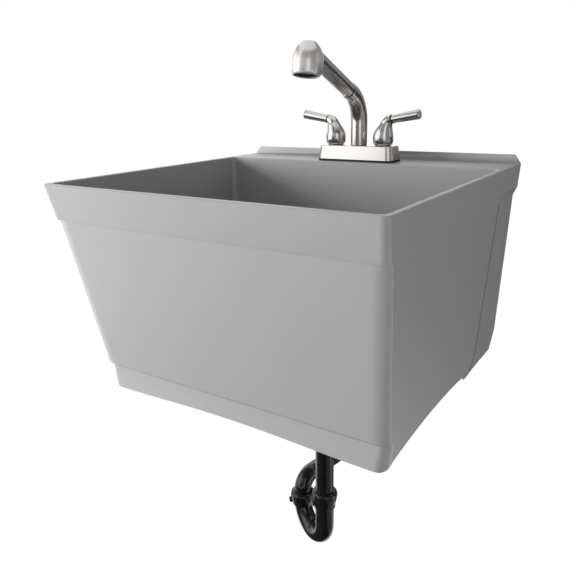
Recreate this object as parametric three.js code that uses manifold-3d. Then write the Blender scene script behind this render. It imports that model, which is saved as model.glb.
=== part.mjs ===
// A wall-hung utility laundry sink: a moulded tub on a steel wall bracket, a two-handle
// centreset faucet with a pull-out spray, a drain with a lift-out strainer, and a tubular trap.
//
// Millimetres, +X to the right seen from the front, +Y into the wall, +Z up. The wall is the
// plane Y = 0 and the origin is the centre of the bracket's rear face. Heights on the tub and
// the trap are given as drops below the rim, and distances to the front as reaches from the wall.
import * as THREE from "three";
import { mergeVertices } from "three/addons/utils/BufferGeometryUtils.js";
import Module from "manifold-3d";

const wasm = await Module();
wasm.setup();

const degrees = (angle) => THREE.MathUtils.degToRad(angle);

// ---------------------------------------------------------------- driving dimensions

const GAP = 0.3; // between two pieces that touch
const RUNNING_GAP = 0.35; // radial, between a turning piece and what it turns in

// Tub, a single polypropylene moulding
const RIM_WIDTH = 583;
const TUB_REACH = 574.5; // wall to the rim's front edge
const TUB_HEIGHT = 367.5; // rim to the lowest edge
const WALL = 4.5;
const RIM_TOP = 10.5; // width of the rim's flat top
const RIM_EDGE = 1.5; // rounding of the rim's outer edge
const BAND_HEIGHT = 57.5;
const SIDE_DRAFT = degrees(3.65); // one face from the rim to the kick band
const BAND_FRONT_DRAFT = degrees(13.2);
const BAND_CORNER_WIDTH = 11.5; // a corner's extent along the front
const BAND_CORNER_DEPTH = 7; // and along the side
const LEDGE_FRONT = 2.5; // how far the band stands out over the apron
const APRON_FRONT_DRAFT = degrees(11);
const APRON_CORNER_WIDTH = 25;
const APRON_CORNER_DEPTH = 10;
const APRON_EDGE = 4; // rounding of the apron's lower edge
const KICK_HEIGHT = 44.5; // the lowest band, below the apron
const KICK_FRONT_STEP = 6.4; // how far the kick band stands back under the apron
const KICK_SIDE_DRAFT = degrees(8.6);
const KICK_CORNER_WIDTH = 17;
const KICK_CORNER_DEPTH = 15;
const UNDERSIDE_RADIUS = 12;
const DECK_REACH = 105; // wall to the bowl's rear edge
const DECK_THICKNESS = 4.5;
const BOWL_REAR_DRAFT = degrees(3.4);
const BOWL_RADIUS = 10;
const BOWL_BASE_RADIUS = 30;
const BOWL_EDGE = 2.2; // rounding of the bowl's mouth
const FLOOR_FILLET = 26;
const FLOOR_FALL = 8; // from the walls to the drain
const DRAIN_LAND = 46; // radius of the flat floor round the drain
const BOSS_THICKNESS = 8; // floor thickness at the drain
const FRONT_ARCH_RISE = 6.8;
const FRONT_ARCH_MARGIN = 32; // from the corner to the arch's foot
const FRONT_ARCH_POWER = 1.5; // over 1 draws the arch out at its feet
const SIDE_ARCH_RISE = 19.5;
const SIDE_ARCH_POWER = 0.6; // under 1 makes the arch fuller at its feet
const SIDE_ARCH_START = 2; // from the kick band's front face to the arch's foot
const SIDE_ARCH_END_REACH = 134; // wall to where the arch would come down again
const REAR_FOOT_REACH = 162; // wall to the step that cuts the arch short
const SEAM_TOP_REACH = 114.2; // wall to the seam between bowl side and rear skirt
const SEAM_FOOT_REACH = 128;
const SKIRT_TOP_STEP = 5.9; // how far the rear skirt stands in behind the seam
const SKIRT_FOOT_STEP = 0.9;
const SKIRT_CHAMFER = 17; // height over which the skirt slopes in under the rim
const LIP_HEIGHT = 15; // upstand along the wall
const LIP_FOOT = 8;
const LIP_CREST = 5;
const LIP_END_SLOPE = 11;
const FLANGE_DROP = 27.2; // hanging flange under the deck, along the wall
const FLANGE_THICKNESS = 5.5;

// Wall bracket, bent steel strip
const BRACKET_LENGTH = 440;
const BRACKET_HEIGHT = 60;
const BRACKET_THICKNESS = 2.5;
const HOOK_HEIGHT = 18;
const SCREW_COUNT = 4;
const SCREW_END_MARGIN = 40; // from a bracket's end to its last screw
const SCREW_DROP = 12; // below the bracket's centre line
const SCREW_RADIUS = 3;
const SCREW_LENGTH = 45;
const SCREW_HEAD_RADIUS = 6.5;
const SCREW_HEAD_HEIGHT = 4.5;
const SCREW_WASHER_RADIUS = 8.5;
const SCREW_WASHER_THICKNESS = 1.5;

// Drain, for a nominal 1 1/2 in waste
const DRAIN_REACH = 201.5; // wall to the drain's axis
const WASTE_RADIUS = 19.05; // outside of the 1 1/2 in tubes
const TUBE_WALL = 1.6;
const DRAIN_THREAD_RADIUS = 23.6;
const DRAIN_THROAT_RADIUS = 20.6;
const DRAIN_FLANGE_RADIUS = 36.5;
const DRAIN_FLANGE_THICKNESS = 2;
const DRAIN_LENGTH = 42; // from the flange's underside down
const DRAIN_GASKET_RADIUS = 39;
const DRAIN_GASKET_THICKNESS = 3;
const LOCKNUT_RADIUS = 38;
const LOCKNUT_HEIGHT = 9;
const COUPLING_RADIUS = 29;
const COUPLING_HEIGHT = 24;
const COUPLING_LIP = 4;
const STRAINER_RIM_RADIUS = 27;
const STRAINER_CUP_RADIUS = 18.5;
const STRAINER_DEPTH = 20;
const STRAINER_SHEET = 1.2;
const STRAINER_HOLES = 8;
const STRAINER_HOLE_RADIUS = 1.8;
const KNOB_RADIUS = 6;
const KNOB_HEIGHT = 9;
const FERRULE_RADIUS = 22.6; // flange on the tailpiece's upper end
const FERRULE_THICKNESS = 2.4;
const TAIL_WASHER_THICKNESS = 2;

// Trap, glossy black plastic
const TAILPIECE_LENGTH = 319; // below its ferrule
const INLET_NUT_RISE = 25.5; // tailpiece's foot up to the inlet nut's top
const INLET_NUT_HEIGHT = 30;
const INLET_NUT_RADIUS = 26;
const OUTLET_NUT_RISE = 22; // J-bend's centre up to the outlet nut's top
const OUTLET_NUT_HEIGHT = 31;
const OUTLET_NUT_RADIUS = 26.8;
const NUT_LIP = 5;
const NUT_RIBS = 8;
const NUT_RIB_HEIGHT = 1.1;
const NUT_RIB_WIDTH = 5;
const NUT_TAPER = 2.2; // how far a slip nut's side comes in at its foot
const NUT_TAPER_SHARE = 0.42; // of its height
const WING_LENGTH = 5.5;
const WING_WIDTH = 5;
const WING_HEIGHT = 15;
const WING_DROP = 3; // how far a wing hangs below its nut
const INLET_WING_ANGLE = degrees(240);
const OUTLET_WING_ANGLE = degrees(213);
const TRAP_RADIUS = 49.5; // bend radius of the J-bend's centre line
const TRAP_ANGLE = degrees(150); // from +X to the J-bend's outlet leg
const BEND_BELOW_TAILPIECE = 59.5; // tailpiece's foot down to the J-bend's centre
const TRAP_TUBE_RADIUS = 19.8;
const TRAP_TUBE_WALL = 2.3;
const SOCKET_RADIUS = 22.8;
const SLIP_WASHER_HEIGHT = 5;
const INLET_SOCKET_LENGTH = 30;
const OUTLET_SOCKET_LENGTH = 18;
const ELBOW_RADIUS = 31.6;
const ELBOW_ANGLE = degrees(80.5); // from +X to the wall arm
const ELBOW_LEG_RISE = 23.5; // J-bend's centre up to where the elbow starts
const ARM_WALL_CLEARANCE = 5; // wall to the centre of the arm's end face

// Faucet, brushed metal on 4 in centres
const FAUCET_REACH = 67; // wall to the faucet's centre line
const VALVE_SPACING = 101.6;
const BASE_LENGTH = 159;
const BASE_DEPTH = 51;
const BASE_HEIGHT = 26.2;
const BASE_RADIUS = 12.5;
const BASE_DRAFT = degrees(6);
const BASE_SHELL = 3;
const BASE_TOP_ROUND = 1.6;
const PAD_THICKNESS = 2.6;
const PAD_MARGIN = 1;
const SHANK_RADIUS = 10.2; // nominal 1/2 in thread
const SHANK_BORE_RADIUS = 6.5;
const SHANK_DROP = 48; // deck to the shank's lower end
const DECK_HOLE_RADIUS = 15;
const VALVE_FLANGE_RADIUS = 18;
const VALVE_FLANGE_THICKNESS = 3;
const VALVE_NECK_RADIUS = 11.5;
const STEM_RADIUS = 5;
const STEM_DEPTH = 18; // below the base plate's top
const STEM_RISE = 16; // above the valve neck
const NECK_RISE = 2.5; // valve neck above the base plate
const SHANK_NUT_RADIUS = 20;
const SHANK_NUT_HEIGHT = 11;
const SHANK_NUT_LUGS = 4;
const SHANK_WASHER_RADIUS = 21;
const SHANK_WASHER_THICKNESS = 1.6;

// Handles
const BELL_FOOT_RADIUS = 14.8;
const BELL_RADIUS = 19.1;
const BELL_HEIGHT = 38.8; // base plate to the foot of the swan neck
const BELL_SOCKET_RADIUS = 12.6;
const BELL_SOCKET_DEPTH = 6;
const NECK_FOOT_RADIUS = 12.6;
const NECK_END_RADIUS = 9.1;
const NECK_PIVOT_REACH = 17.6; // valve axis to the inner corner of the swan neck
const LEVER_PITCH = degrees(10); // the lever's rise over the horizontal
const COLLAR_RADIUS = 8.6;
const COLLAR_LENGTH = 1.6;
const LEVER_LENGTH = 50.3;
const LEVER_ROOT_RADIUS = 7.8;
const LEVER_END_RADIUS = 9.1;
const TIP_LENGTH = 5;
const TIP_FACE_RADIUS = 5;

// Spout and pull-out spray
const SPOUT_RADIUS = 15.6;
const SPOUT_WALL = 3;
const SPOUT_STRAIGHT = 42.8; // base plate to the start of the bend
const SPOUT_BEND_RADIUS = 60.5;
const WAND_PITCH = degrees(23.3); // the wand's rise over the horizontal
const SPOUT_MOUTH = 10; // straight length after the bend
const SWIVEL_RISE = 20; // swivel shank above the base plate
const SWIVEL_BORE_RADIUS = 9;
const BUSH_HEIGHT = 5;
const BUSH_THICKNESS = 1.4;
const WAND_RADIUS = 14.2;
const WAND_LENGTH = 154; // from the spout's mouth to the spray head's axis
const WAND_END_SETBACK = 12; // the tube ends inside the head, this far before its axis
const SEAL_THICKNESS = 1.4; // dark ring between the spout's mouth and the wand
const SEAL_SETBACK = 0.5; // of the ring's edge inside the wand's outside
const SPIGOT_RADIUS = 9.6;
const SPIGOT_LENGTH = 20;
const HOSE_RADIUS = 5;
const HOSE_STUB = 18.5;
const KEY_LENGTH = 7;
const KEY_WIDTH = 5;
const KEY_HEIGHT = 2.2;
const HEAD_HEIGHT = 52.5;
const HEAD_RADIUS = 26.8;
const HEAD_MOUTH_RADIUS = 22.3;
const HEAD_CROWN_RADIUS = 13.4;
const HEAD_TILT = degrees(11.5); // how far the head's crown leans back to the wall
const HEAD_BELOW_WAND = 40; // mouth to the wand's axis, along the head's axis
const MOUTH_RECESS = 9;
const MOUTH_WALL = 2;
const NOZZLE_RING_WIDTH = 3;
const NOZZLE_SETBACK = 2;
const BUTTON_RADIUS = 9.8;
const BUTTON_THICKNESS = 6;
const BUTTON_TRAVEL = 2.5;
const BEZEL_WIDTH = 1.2;

// Facets round a circle
const FINE = 40;
const MEDIUM = 28;
const COARSE = 20;

// ---------------------------------------------------------------- finishes

const finish = (color, roughness, metalness) =>
  new THREE.MeshStandardMaterial({ color, roughness, metalness });
const tubPlastic = finish(0x9b9b9c, 0.5, 0);
const brushedNickel = finish(0xb4aba5, 0.32, 1);
const polishedSteel = finish(0xc9c9c9, 0.2, 1);
const zincSteel = finish(0x9a9fa3, 0.45, 1);
const brass = finish(0xb48b4a, 0.35, 1);
const glossBlack = finish(0x121213, 0.15, 0);
const mattBlack = finish(0x1b1b1c, 0.6, 0);
const rubber = finish(0x202020, 0.85, 0);
const whitePlastic = finish(0xd9d9d6, 0.5, 0);

// ---------------------------------------------------------------- solids and booleans

// A closed geometry as a manifold solid, without its zero-area triangles.
function solidOf(geometry) {
  const bare = new THREE.BufferGeometry();
  bare.setAttribute("position", geometry.getAttribute("position"));
  if (geometry.index) bare.setIndex(geometry.index);
  const merged = mergeVertices(bare, 1e-4);
  const corners = merged.index.array;
  const kept = [];
  for (let i = 0; i < corners.length; i += 3) {
    const [a, b, c] = [corners[i], corners[i + 1], corners[i + 2]];
    if (a !== b && b !== c && c !== a) kept.push(a, b, c);
  }
  const mesh = new wasm.Mesh({
    numProp: 3,
    vertProperties: merged.attributes.position.array,
    triVerts: new Uint32Array(kept),
  });
  return new wasm.Manifold(mesh);
}

function geometryOf(solid) {
  const { vertProperties, triVerts } = solid.getMesh();
  const shared = new THREE.BufferGeometry();
  shared.setAttribute("position", new THREE.BufferAttribute(vertProperties, 3));
  shared.setIndex(new THREE.BufferAttribute(triVerts, 1));
  const flat = shared.toNonIndexed();
  flat.computeVertexNormals();
  return flat;
}

const join = (solids) => solids.reduce((whole, piece) => whole.add(piece));
const cut = (solid, tools) => tools.reduce((rest, tool) => rest.subtract(tool), solid);

function part(name, material, solid) {
  const mesh = new THREE.Mesh(geometryOf(solid), material);
  mesh.name = name;
  return mesh;
}

function group(children, position = [0, 0, 0], turn = [0, 0, 0]) {
  const holder = new THREE.Group();
  holder.add(...children);
  holder.position.set(...position);
  holder.rotation.set(...turn);
  return holder;
}

// ---------------------------------------------------------------- shapes

// A solid of revolution about Z from [radius, height] points, listed from the lower end of the
// outside upwards and back, starting and ending on the axis or closing on itself.
function turned(profile, facets = MEDIUM) {
  const points = profile.map(([radius, height]) => new THREE.Vector2(radius, height));
  return solidOf(new THREE.LatheGeometry(points, facets).rotateX(Math.PI / 2));
}

function rod(radius, low, high, facets = MEDIUM) {
  return turned([[0, low], [radius, low], [radius, high], [0, high]], facets);
}

function ring(outer, inner, low, high, facets = MEDIUM) {
  const profile = [[outer, low], [outer, high], [inner, high], [inner, low], [outer, low]];
  return turned(profile, facets);
}

function block(x0, x1, y0, y1, z0, z1) {
  const box = new THREE.BoxGeometry(x1 - x0, y1 - y0, z1 - z0);
  return solidOf(box.translate((x0 + x1) / 2, (y0 + y1) / 2, (z0 + z1) / 2));
}

// A closed skin through convex loops of equally many points, each loop anticlockwise seen from
// the side that the last loop faces.
function loft(loops) {
  const count = loops[0].length;
  const corners = loops.flat().flatMap((point) => point.toArray());
  const faces = [];
  for (let row = 0; row + 1 < loops.length; row += 1) {
    for (let i = 0; i < count; i += 1) {
      const next = (i + 1) % count;
      const [a, b] = [row * count + i, row * count + next];
      faces.push(a, b, b + count, a, b + count, a + count);
    }
  }
  const last = (loops.length - 1) * count;
  for (let i = 1; i + 1 < count; i += 1) {
    faces.push(0, i + 1, i, last, last + i, last + i + 1);
  }
  const skin = new THREE.BufferGeometry();
  skin.setAttribute("position", new THREE.Float32BufferAttribute(corners, 3));
  skin.setIndex(faces);
  return solidOf(skin);
}

// A level rectangle with round rear corners and round or elliptical front corners.
function loop(sizes) {
  const { half, front, rear, z, frontRadius } = sizes;
  const { frontDepth = frontRadius, rearRadius = frontRadius, steps = 5 } = sizes;
  const corner = (x, y, width, depth, start, count) =>
    Array.from({ length: count + 1 }, (_, i) => {
      const angle = start + (i / count) * (Math.PI / 2);
      return new THREE.Vector3(x + width * Math.cos(angle), y + depth * Math.sin(angle), z);
    });
  const [f, d, r] = [frontRadius, frontDepth, rearRadius];
  return [
    ...corner(half - r, rear - r, r, r, 0, 3),
    ...corner(-half + r, rear - r, r, r, Math.PI / 2, 3),
    ...corner(-half + f, front + d, f, d, Math.PI, steps),
    ...corner(half - f, front + d, f, d, -Math.PI / 2, steps),
  ];
}

// A flat outline of [across, up] points in the XZ plane, extruded from y0 to y1.
function slabAlongY(outline, y0, y1) {
  const shape = new THREE.Shape(outline.map(([x, z]) => new THREE.Vector2(x, z)));
  const slab = new THREE.ExtrudeGeometry(shape, { depth: y1 - y0, bevelEnabled: false });
  return solidOf(slab.rotateX(Math.PI / 2).translate(0, y1, 0));
}

// A flat outline of [y, z] points, extruded from x0 to x1.
function slabAlongX(outline, x0, x1) {
  const shape = new THREE.Shape(outline.map(([y, z]) => new THREE.Vector2(y, z)));
  const slab = new THREE.ExtrudeGeometry(shape, { depth: x1 - x0, bevelEnabled: false });
  return solidOf(slab.rotateY(Math.PI / 2).rotateX(Math.PI / 2).translate(x0, 0, 0));
}

// A round bar along a run: a straight lead, a bend and a straight tail in one plane. The run
// starts in its direction and bends towards its side. The bar may run over both ends.
function bar(run, radius, facets, over = 0) {
  const normal = run.direction.clone().cross(run.side);
  const hoopAt = (angle, along) => {
    const outward = run.side.clone().multiplyScalar(Math.cos(angle));
    outward.addScaledVector(run.direction, -Math.sin(angle));
    const centre = placeOn(run, angle, along);
    return Array.from({ length: facets }, (_, i) => {
      const turn = (2 * Math.PI * i) / facets;
      const point = centre.clone().addScaledVector(outward, radius * Math.cos(turn));
      return point.addScaledVector(normal, radius * Math.sin(turn));
    });
  };
  const bend = Array.from({ length: run.steps + 1 }, (_, i) => (run.angle * i) / run.steps);
  return loft([
    hoopAt(0, -run.lead - over),
    ...bend.map((angle) => hoopAt(angle, 0)),
    hoopAt(run.angle, run.tail + over),
  ]);
}

// The direction of a run after turning through an angle of its bend.
function headingOn(run, angle) {
  const heading = run.direction.clone().multiplyScalar(Math.cos(angle));
  return heading.addScaledVector(run.side, Math.sin(angle));
}

// The point of a run at an angle of its bend, moved on along the heading there.
function placeOn(run, angle, along) {
  const place = run.start.clone().addScaledVector(run.direction, run.lead);
  place.addScaledVector(run.side, run.bendRadius * (1 - Math.cos(angle)));
  place.addScaledVector(run.direction, run.bendRadius * Math.sin(angle));
  return place.addScaledVector(headingOn(run, angle), along);
}

const endOf = (run) => placeOn(run, run.angle, run.tail);

// Evenly spaced copies of a solid, turned about Z.
function around(count, makeSolid) {
  return Array.from({ length: count }, (_, i) => makeSolid().rotate([0, 0, (360 * i) / count]));
}

// ---------------------------------------------------------------- places that pieces share

const RIM_Z = BRACKET_HEIGHT / 2 + GAP + FLANGE_DROP + DECK_THICKNESS;
const below = (drop) => RIM_Z - drop;
const FRONT_Y = -TUB_REACH;
const VALVE_X = VALVE_SPACING / 2;

const APRON_DROP = TUB_HEIGHT - KICK_HEIGHT;
const sideHalf = (drop) => RIM_WIDTH / 2 - drop * Math.tan(SIDE_DRAFT);
const bandFront = (drop) => FRONT_Y + drop * Math.tan(BAND_FRONT_DRAFT);
const apronFront = (drop) =>
  bandFront(BAND_HEIGHT) + LEDGE_FRONT + (drop - BAND_HEIGHT) * Math.tan(APRON_FRONT_DRAFT);
const KICK_HALF = sideHalf(APRON_DROP);
const KICK_FRONT = apronFront(APRON_DROP) + KICK_FRONT_STEP;
const KICK_SIDE_FALL = KICK_HEIGHT * Math.tan(KICK_SIDE_DRAFT);

// The bowl's inner faces run straight from the rim to the floor.
const mix = (from, to, drop) => from + ((to - from) * drop) / APRON_DROP;
const bowlHalf = (drop) => mix(RIM_WIDTH / 2 - RIM_TOP, KICK_HALF - WALL, drop);
const bowlFront = (drop) => mix(FRONT_Y + RIM_TOP, apronFront(APRON_DROP) + WALL, drop);
const bowlRear = (drop) => -DECK_REACH - drop * Math.tan(BOWL_REAR_DRAFT);

const LAND_DROP = APRON_DROP + FLOOR_FALL; // the floor at the drain
const BOSS_DROP = LAND_DROP + BOSS_THICKNESS;
const DRAIN_Y = -DRAIN_REACH;
const FLANGE_SEAT_DROP = LAND_DROP + DRAIN_FLANGE_THICKNESS;
const DRAIN_FOOT_DROP = FLANGE_SEAT_DROP + DRAIN_LENGTH;
const TAIL_WASHER_DROP = DRAIN_FOOT_DROP + GAP;
const FERRULE_DROP = TAIL_WASHER_DROP + TAIL_WASHER_THICKNESS + GAP;
const FERRULE_FOOT_DROP = FERRULE_DROP + FERRULE_THICKNESS;
const COUPLING_FOOT_DROP = FERRULE_FOOT_DROP + GAP + COUPLING_LIP;

const TAILPIECE_FOOT_DROP = FERRULE_FOOT_DROP + TAILPIECE_LENGTH;
const TRAP_BEND_DROP = TAILPIECE_FOOT_DROP + BEND_BELOW_TAILPIECE;
const INLET_NUT_DROP = TAILPIECE_FOOT_DROP - INLET_NUT_RISE;
const OUTLET_NUT_DROP = TRAP_BEND_DROP - OUTLET_NUT_RISE;
const ELBOW_LEG_TOP_DROP = TRAP_BEND_DROP - ELBOW_LEG_RISE;
const INLET_LIP_DROP = INLET_NUT_DROP + NUT_LIP;
const INLET_SOCKET_DROP = INLET_LIP_DROP + GAP + SLIP_WASHER_HEIGHT + GAP;
const OUTLET_LIP_DROP = OUTLET_NUT_DROP + NUT_LIP;
const OUTLET_SOCKET_DROP = OUTLET_LIP_DROP + GAP + SLIP_WASHER_HEIGHT + GAP;
const OUTLET_X = 2 * TRAP_RADIUS * Math.cos(TRAP_ANGLE);
const OUTLET_Y = DRAIN_Y + 2 * TRAP_RADIUS * Math.sin(TRAP_ANGLE);

const FAUCET_Y = -FAUCET_REACH;
const PAD_TOP = GAP + PAD_THICKNESS; // heights over the deck from here on
const BASE_FOOT = PAD_TOP + GAP;
const BASE_TOP = BASE_FOOT + BASE_HEIGHT;
const NECK_TOP = BASE_TOP + NECK_RISE;

// ---------------------------------------------------------------- tub

function tubOutside() {
  const level = (drop, half, front, width, depth) =>
    loop({
      half,
      front,
      rear: 0,
      z: below(drop),
      frontRadius: width,
      frontDepth: depth,
      rearRadius: 1,
      steps: 8,
    });
  const band = (drop) =>
    level(drop, sideHalf(drop), bandFront(drop), BAND_CORNER_WIDTH, BAND_CORNER_DEPTH);
  const apron = (drop, inset) =>
    level(drop, sideHalf(drop), apronFront(drop) + inset, APRON_CORNER_WIDTH, APRON_CORNER_DEPTH);
  const kick = (drop, half) => level(drop, half, KICK_FRONT, KICK_CORNER_WIDTH, KICK_CORNER_DEPTH);
  const soft = APRON_EDGE * (1 - Math.SQRT1_2);
  const rimInset = RIM_EDGE;
  return loft([
    kick(TUB_HEIGHT, KICK_HALF - KICK_SIDE_FALL),
    kick(APRON_DROP + 0.8, sideHalf(APRON_DROP + 0.8)),
    apron(APRON_DROP, APRON_EDGE),
    apron(APRON_DROP - soft, soft),
    apron(APRON_DROP - APRON_EDGE, 0),
    apron(BAND_HEIGHT + 0.8, 0),
    band(BAND_HEIGHT),
    band(RIM_EDGE),
    level(
      0,
      sideHalf(0) - rimInset,
      bandFront(0) + rimInset,
      BAND_CORNER_WIDTH - rimInset / 2,
      BAND_CORNER_DEPTH - rimInset / 2
    ),
  ]);
}

// Half the tub's width at the rear skirt, from the band's foot down.
function skirtHalf(drop) {
  if (drop > APRON_DROP) {
    return KICK_HALF - SKIRT_FOOT_STEP - (drop - APRON_DROP) * Math.tan(KICK_SIDE_DRAFT);
  }
  const share = (drop - BAND_HEIGHT) / (APRON_DROP - BAND_HEIGHT);
  return sideHalf(drop) - SKIRT_TOP_STEP - (SKIRT_FOOT_STEP - SKIRT_TOP_STEP) * share;
}

// What is cut off both sides behind the seam, so that the rear skirt stands in.
function skirtCut() {
  const slope = (SEAM_FOOT_REACH - SEAM_TOP_REACH) / (APRON_DROP - BAND_HEIGHT);
  const reachAt = (drop) => SEAM_TOP_REACH + (drop - BAND_HEIGHT) * slope;
  const top = BAND_HEIGHT - SKIRT_CHAMFER;
  const foot = TUB_HEIGHT + 10;
  const behindSeam = slabAlongX(
    [
      [-reachAt(top), below(top)],
      [-reachAt(foot), below(foot)],
      [10, below(foot)],
      [10, below(top)],
    ],
    -RIM_WIDTH,
    RIM_WIDTH
  );
  const right = [
    [skirtHalf(foot), below(foot)],
    [skirtHalf(APRON_DROP), below(APRON_DROP)],
    [skirtHalf(BAND_HEIGHT), below(BAND_HEIGHT)],
    [sideHalf(top) + 0.1, below(top - 0.3)],
  ];
  const left = right.map(([x, z]) => [-x, z]).reverse();
  return behindSeam.subtract(slabAlongY([...right, ...left], -TUB_REACH, 20));
}

function bowlHollow() {
  const level = (drop, inset, radius) =>
    loop({
      half: bowlHalf(drop) - inset,
      front: bowlFront(drop) + inset,
      rear: bowlRear(drop) - inset,
      z: below(drop),
      frontRadius: radius,
    });
  const land = loop({
    half: DRAIN_LAND,
    front: DRAIN_Y - DRAIN_LAND,
    rear: DRAIN_Y + DRAIN_LAND,
    z: below(LAND_DROP),
    frontRadius: DRAIN_LAND - 1,
  });
  const fillet = [4, 3, 2, 1, 0].map((step) => {
    const angle = (step / 4) * (Math.PI / 2);
    const inset = FLOOR_FILLET * (1 - Math.cos(angle));
    const drop = APRON_DROP - FLOOR_FILLET * (1 - Math.sin(angle));
    return level(drop, inset, BOWL_BASE_RADIUS - inset);
  });
  return loft([
    land,
    ...fillet,
    level(BOWL_EDGE, 0, BOWL_RADIUS),
    level(BOWL_EDGE * 0.3, -BOWL_EDGE * 0.3, BOWL_RADIUS),
    level(-0.5, -BOWL_EDGE - 0.5, BOWL_RADIUS + BOWL_EDGE),
  ]);
}

// The open space behind the bowl, for the supply lines.
function chaseHollow() {
  const level = (drop) =>
    loop({
      half: skirtHalf(Math.max(drop, BAND_HEIGHT)) - WALL,
      front: bowlRear(drop) + WALL,
      rear: 10,
      z: below(drop),
      frontRadius: 5,
      rearRadius: 1,
    });
  return loft([
    level(TUB_HEIGHT + 10),
    level(APRON_DROP),
    level(BAND_HEIGHT),
    level(DECK_THICKNESS),
  ]);
}

// The open space under the bowl, inside the kick band.
function undersideHollow() {
  const level = (drop, fall) =>
    loop({
      half: KICK_HALF - fall - WALL,
      front: KICK_FRONT + WALL,
      rear: bowlRear(APRON_DROP) + WALL + 2,
      z: below(drop),
      frontRadius: UNDERSIDE_RADIUS,
      rearRadius: 3,
    });
  const boss = loop({
    half: DRAIN_LAND + WALL,
    front: DRAIN_Y - DRAIN_LAND - WALL,
    rear: DRAIN_Y + DRAIN_LAND + WALL,
    z: below(BOSS_DROP),
    frontRadius: DRAIN_LAND + WALL - 1,
  });
  return loft([level(TUB_HEIGHT + 10, KICK_SIDE_FALL), level(APRON_DROP + WALL, 0), boss]);
}

// Points of an arch that rises from start, would come down at end, and is cut off at stop.
function arch({ start, end, stop = end, rise, power }, steps = 14) {
  const foot = below(TUB_HEIGHT);
  const tool = foot - 9; // lower end of the cutting slab
  const points = Array.from({ length: steps + 1 }, (_, i) => {
    const at = start + ((stop - start) * i) / steps;
    const share = Math.sin((Math.PI * (at - start)) / (end - start));
    return [at, foot + rise * Math.max(share, 0) ** power];
  });
  return [...points, [stop, tool], [start, tool]];
}

function kickArches() {
  const half = KICK_HALF - FRONT_ARCH_MARGIN;
  const front = arch({ start: -half, end: half, rise: FRONT_ARCH_RISE, power: FRONT_ARCH_POWER });
  const side = arch({
    start: KICK_FRONT + SIDE_ARCH_START,
    end: -SIDE_ARCH_END_REACH,
    stop: -REAR_FOOT_REACH,
    rise: SIDE_ARCH_RISE,
    power: SIDE_ARCH_POWER,
  });
  const frontInner = KICK_FRONT + WALL + 2;
  const sideInner = KICK_HALF - KICK_SIDE_FALL - WALL - 2;
  return [
    slabAlongY(front, KICK_FRONT - 5, frontInner),
    slabAlongX(side, sideInner, RIM_WIDTH / 2),
    slabAlongX(side, -RIM_WIDTH / 2, -sideInner),
  ];
}

// The upstand along the wall, with sloping ends.
function rearLip() {
  const half = sideHalf(0) - RIM_EDGE / 2;
  const foot = below(1);
  const crest = below(-LIP_HEIGHT);
  const ends = [
    [-half, foot],
    [half, foot],
    [half, below(0)],
    [half - LIP_END_SLOPE, crest],
    [-half + LIP_END_SLOPE, crest],
    [-half, below(0)],
  ];
  const section = [[0, foot], [0, crest], [-LIP_CREST, crest], [-LIP_FOOT, foot]];
  const full = slabAlongX(section, -RIM_WIDTH / 2, RIM_WIDTH / 2);
  return full.intersect(slabAlongY(ends, -LIP_FOOT - 5, 5));
}

// The flange that hangs behind the bracket's hook.
function hangingFlange() {
  const half = skirtHalf(BAND_HEIGHT) - WALL / 2;
  const top = below(DECK_THICKNESS / 2);
  const foot = below(DECK_THICKNESS + FLANGE_DROP);
  return block(-half, half, -FLANGE_THICKNESS, 0, foot, top);
}

function tub() {
  const shell = tubOutside().subtract(skirtCut());
  const hollows = [bowlHollow(), chaseHollow(), undersideHollow(), ...kickArches()];
  const seat = rod(DRAIN_FLANGE_RADIUS + GAP, below(FLANGE_SEAT_DROP + GAP), below(APRON_DROP));
  const throat = rod(DRAIN_THREAD_RADIUS + GAP, below(BOSS_DROP + 5), below(APRON_DROP));
  const deckHole = (x) =>
    rod(DECK_HOLE_RADIUS, below(DECK_THICKNESS + 5), below(-5)).translate([x, FAUCET_Y, 0]);
  const body = cut(shell, [
    ...hollows,
    seat.translate([0, DRAIN_Y, 0]),
    throat.translate([0, DRAIN_Y, 0]),
    ...[-VALVE_X, 0, VALVE_X].map(deckHole),
  ]);
  return part("tub", tubPlastic, join([body, rearLip(), hangingFlange()]));
}

// ---------------------------------------------------------------- wall bracket

function bracket() {
  const half = BRACKET_HEIGHT / 2;
  const sheet = BRACKET_THICKNESS;
  const hookFace = -FLANGE_THICKNESS - 2 * GAP; // rear face of the hook
  const outline = [
    [0, -half],
    [0, half],
    [hookFace, half],
    [hookFace, half + HOOK_HEIGHT],
    [hookFace - sheet, half + HOOK_HEIGHT],
    [hookFace - sheet, half - sheet],
    [-sheet, half - sheet],
    [-sheet, -half],
  ];
  const strip = slabAlongX(outline, -BRACKET_LENGTH / 2, BRACKET_LENGTH / 2);
  const hole = (x) =>
    rod(SCREW_RADIUS + GAP, -sheet * 2, sheet * 2, COARSE)
      .rotate([90, 0, 0])
      .translate([x, 0, -SCREW_DROP]);
  return part("wall_bracket", zincSteel, cut(strip, screwPlaces().map(hole)));
}

function screwPlaces() {
  const first = SCREW_END_MARGIN - BRACKET_LENGTH / 2;
  const pitch = (-2 * first) / (SCREW_COUNT - 1);
  return Array.from({ length: SCREW_COUNT }, (_, i) => first + i * pitch);
}

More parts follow.
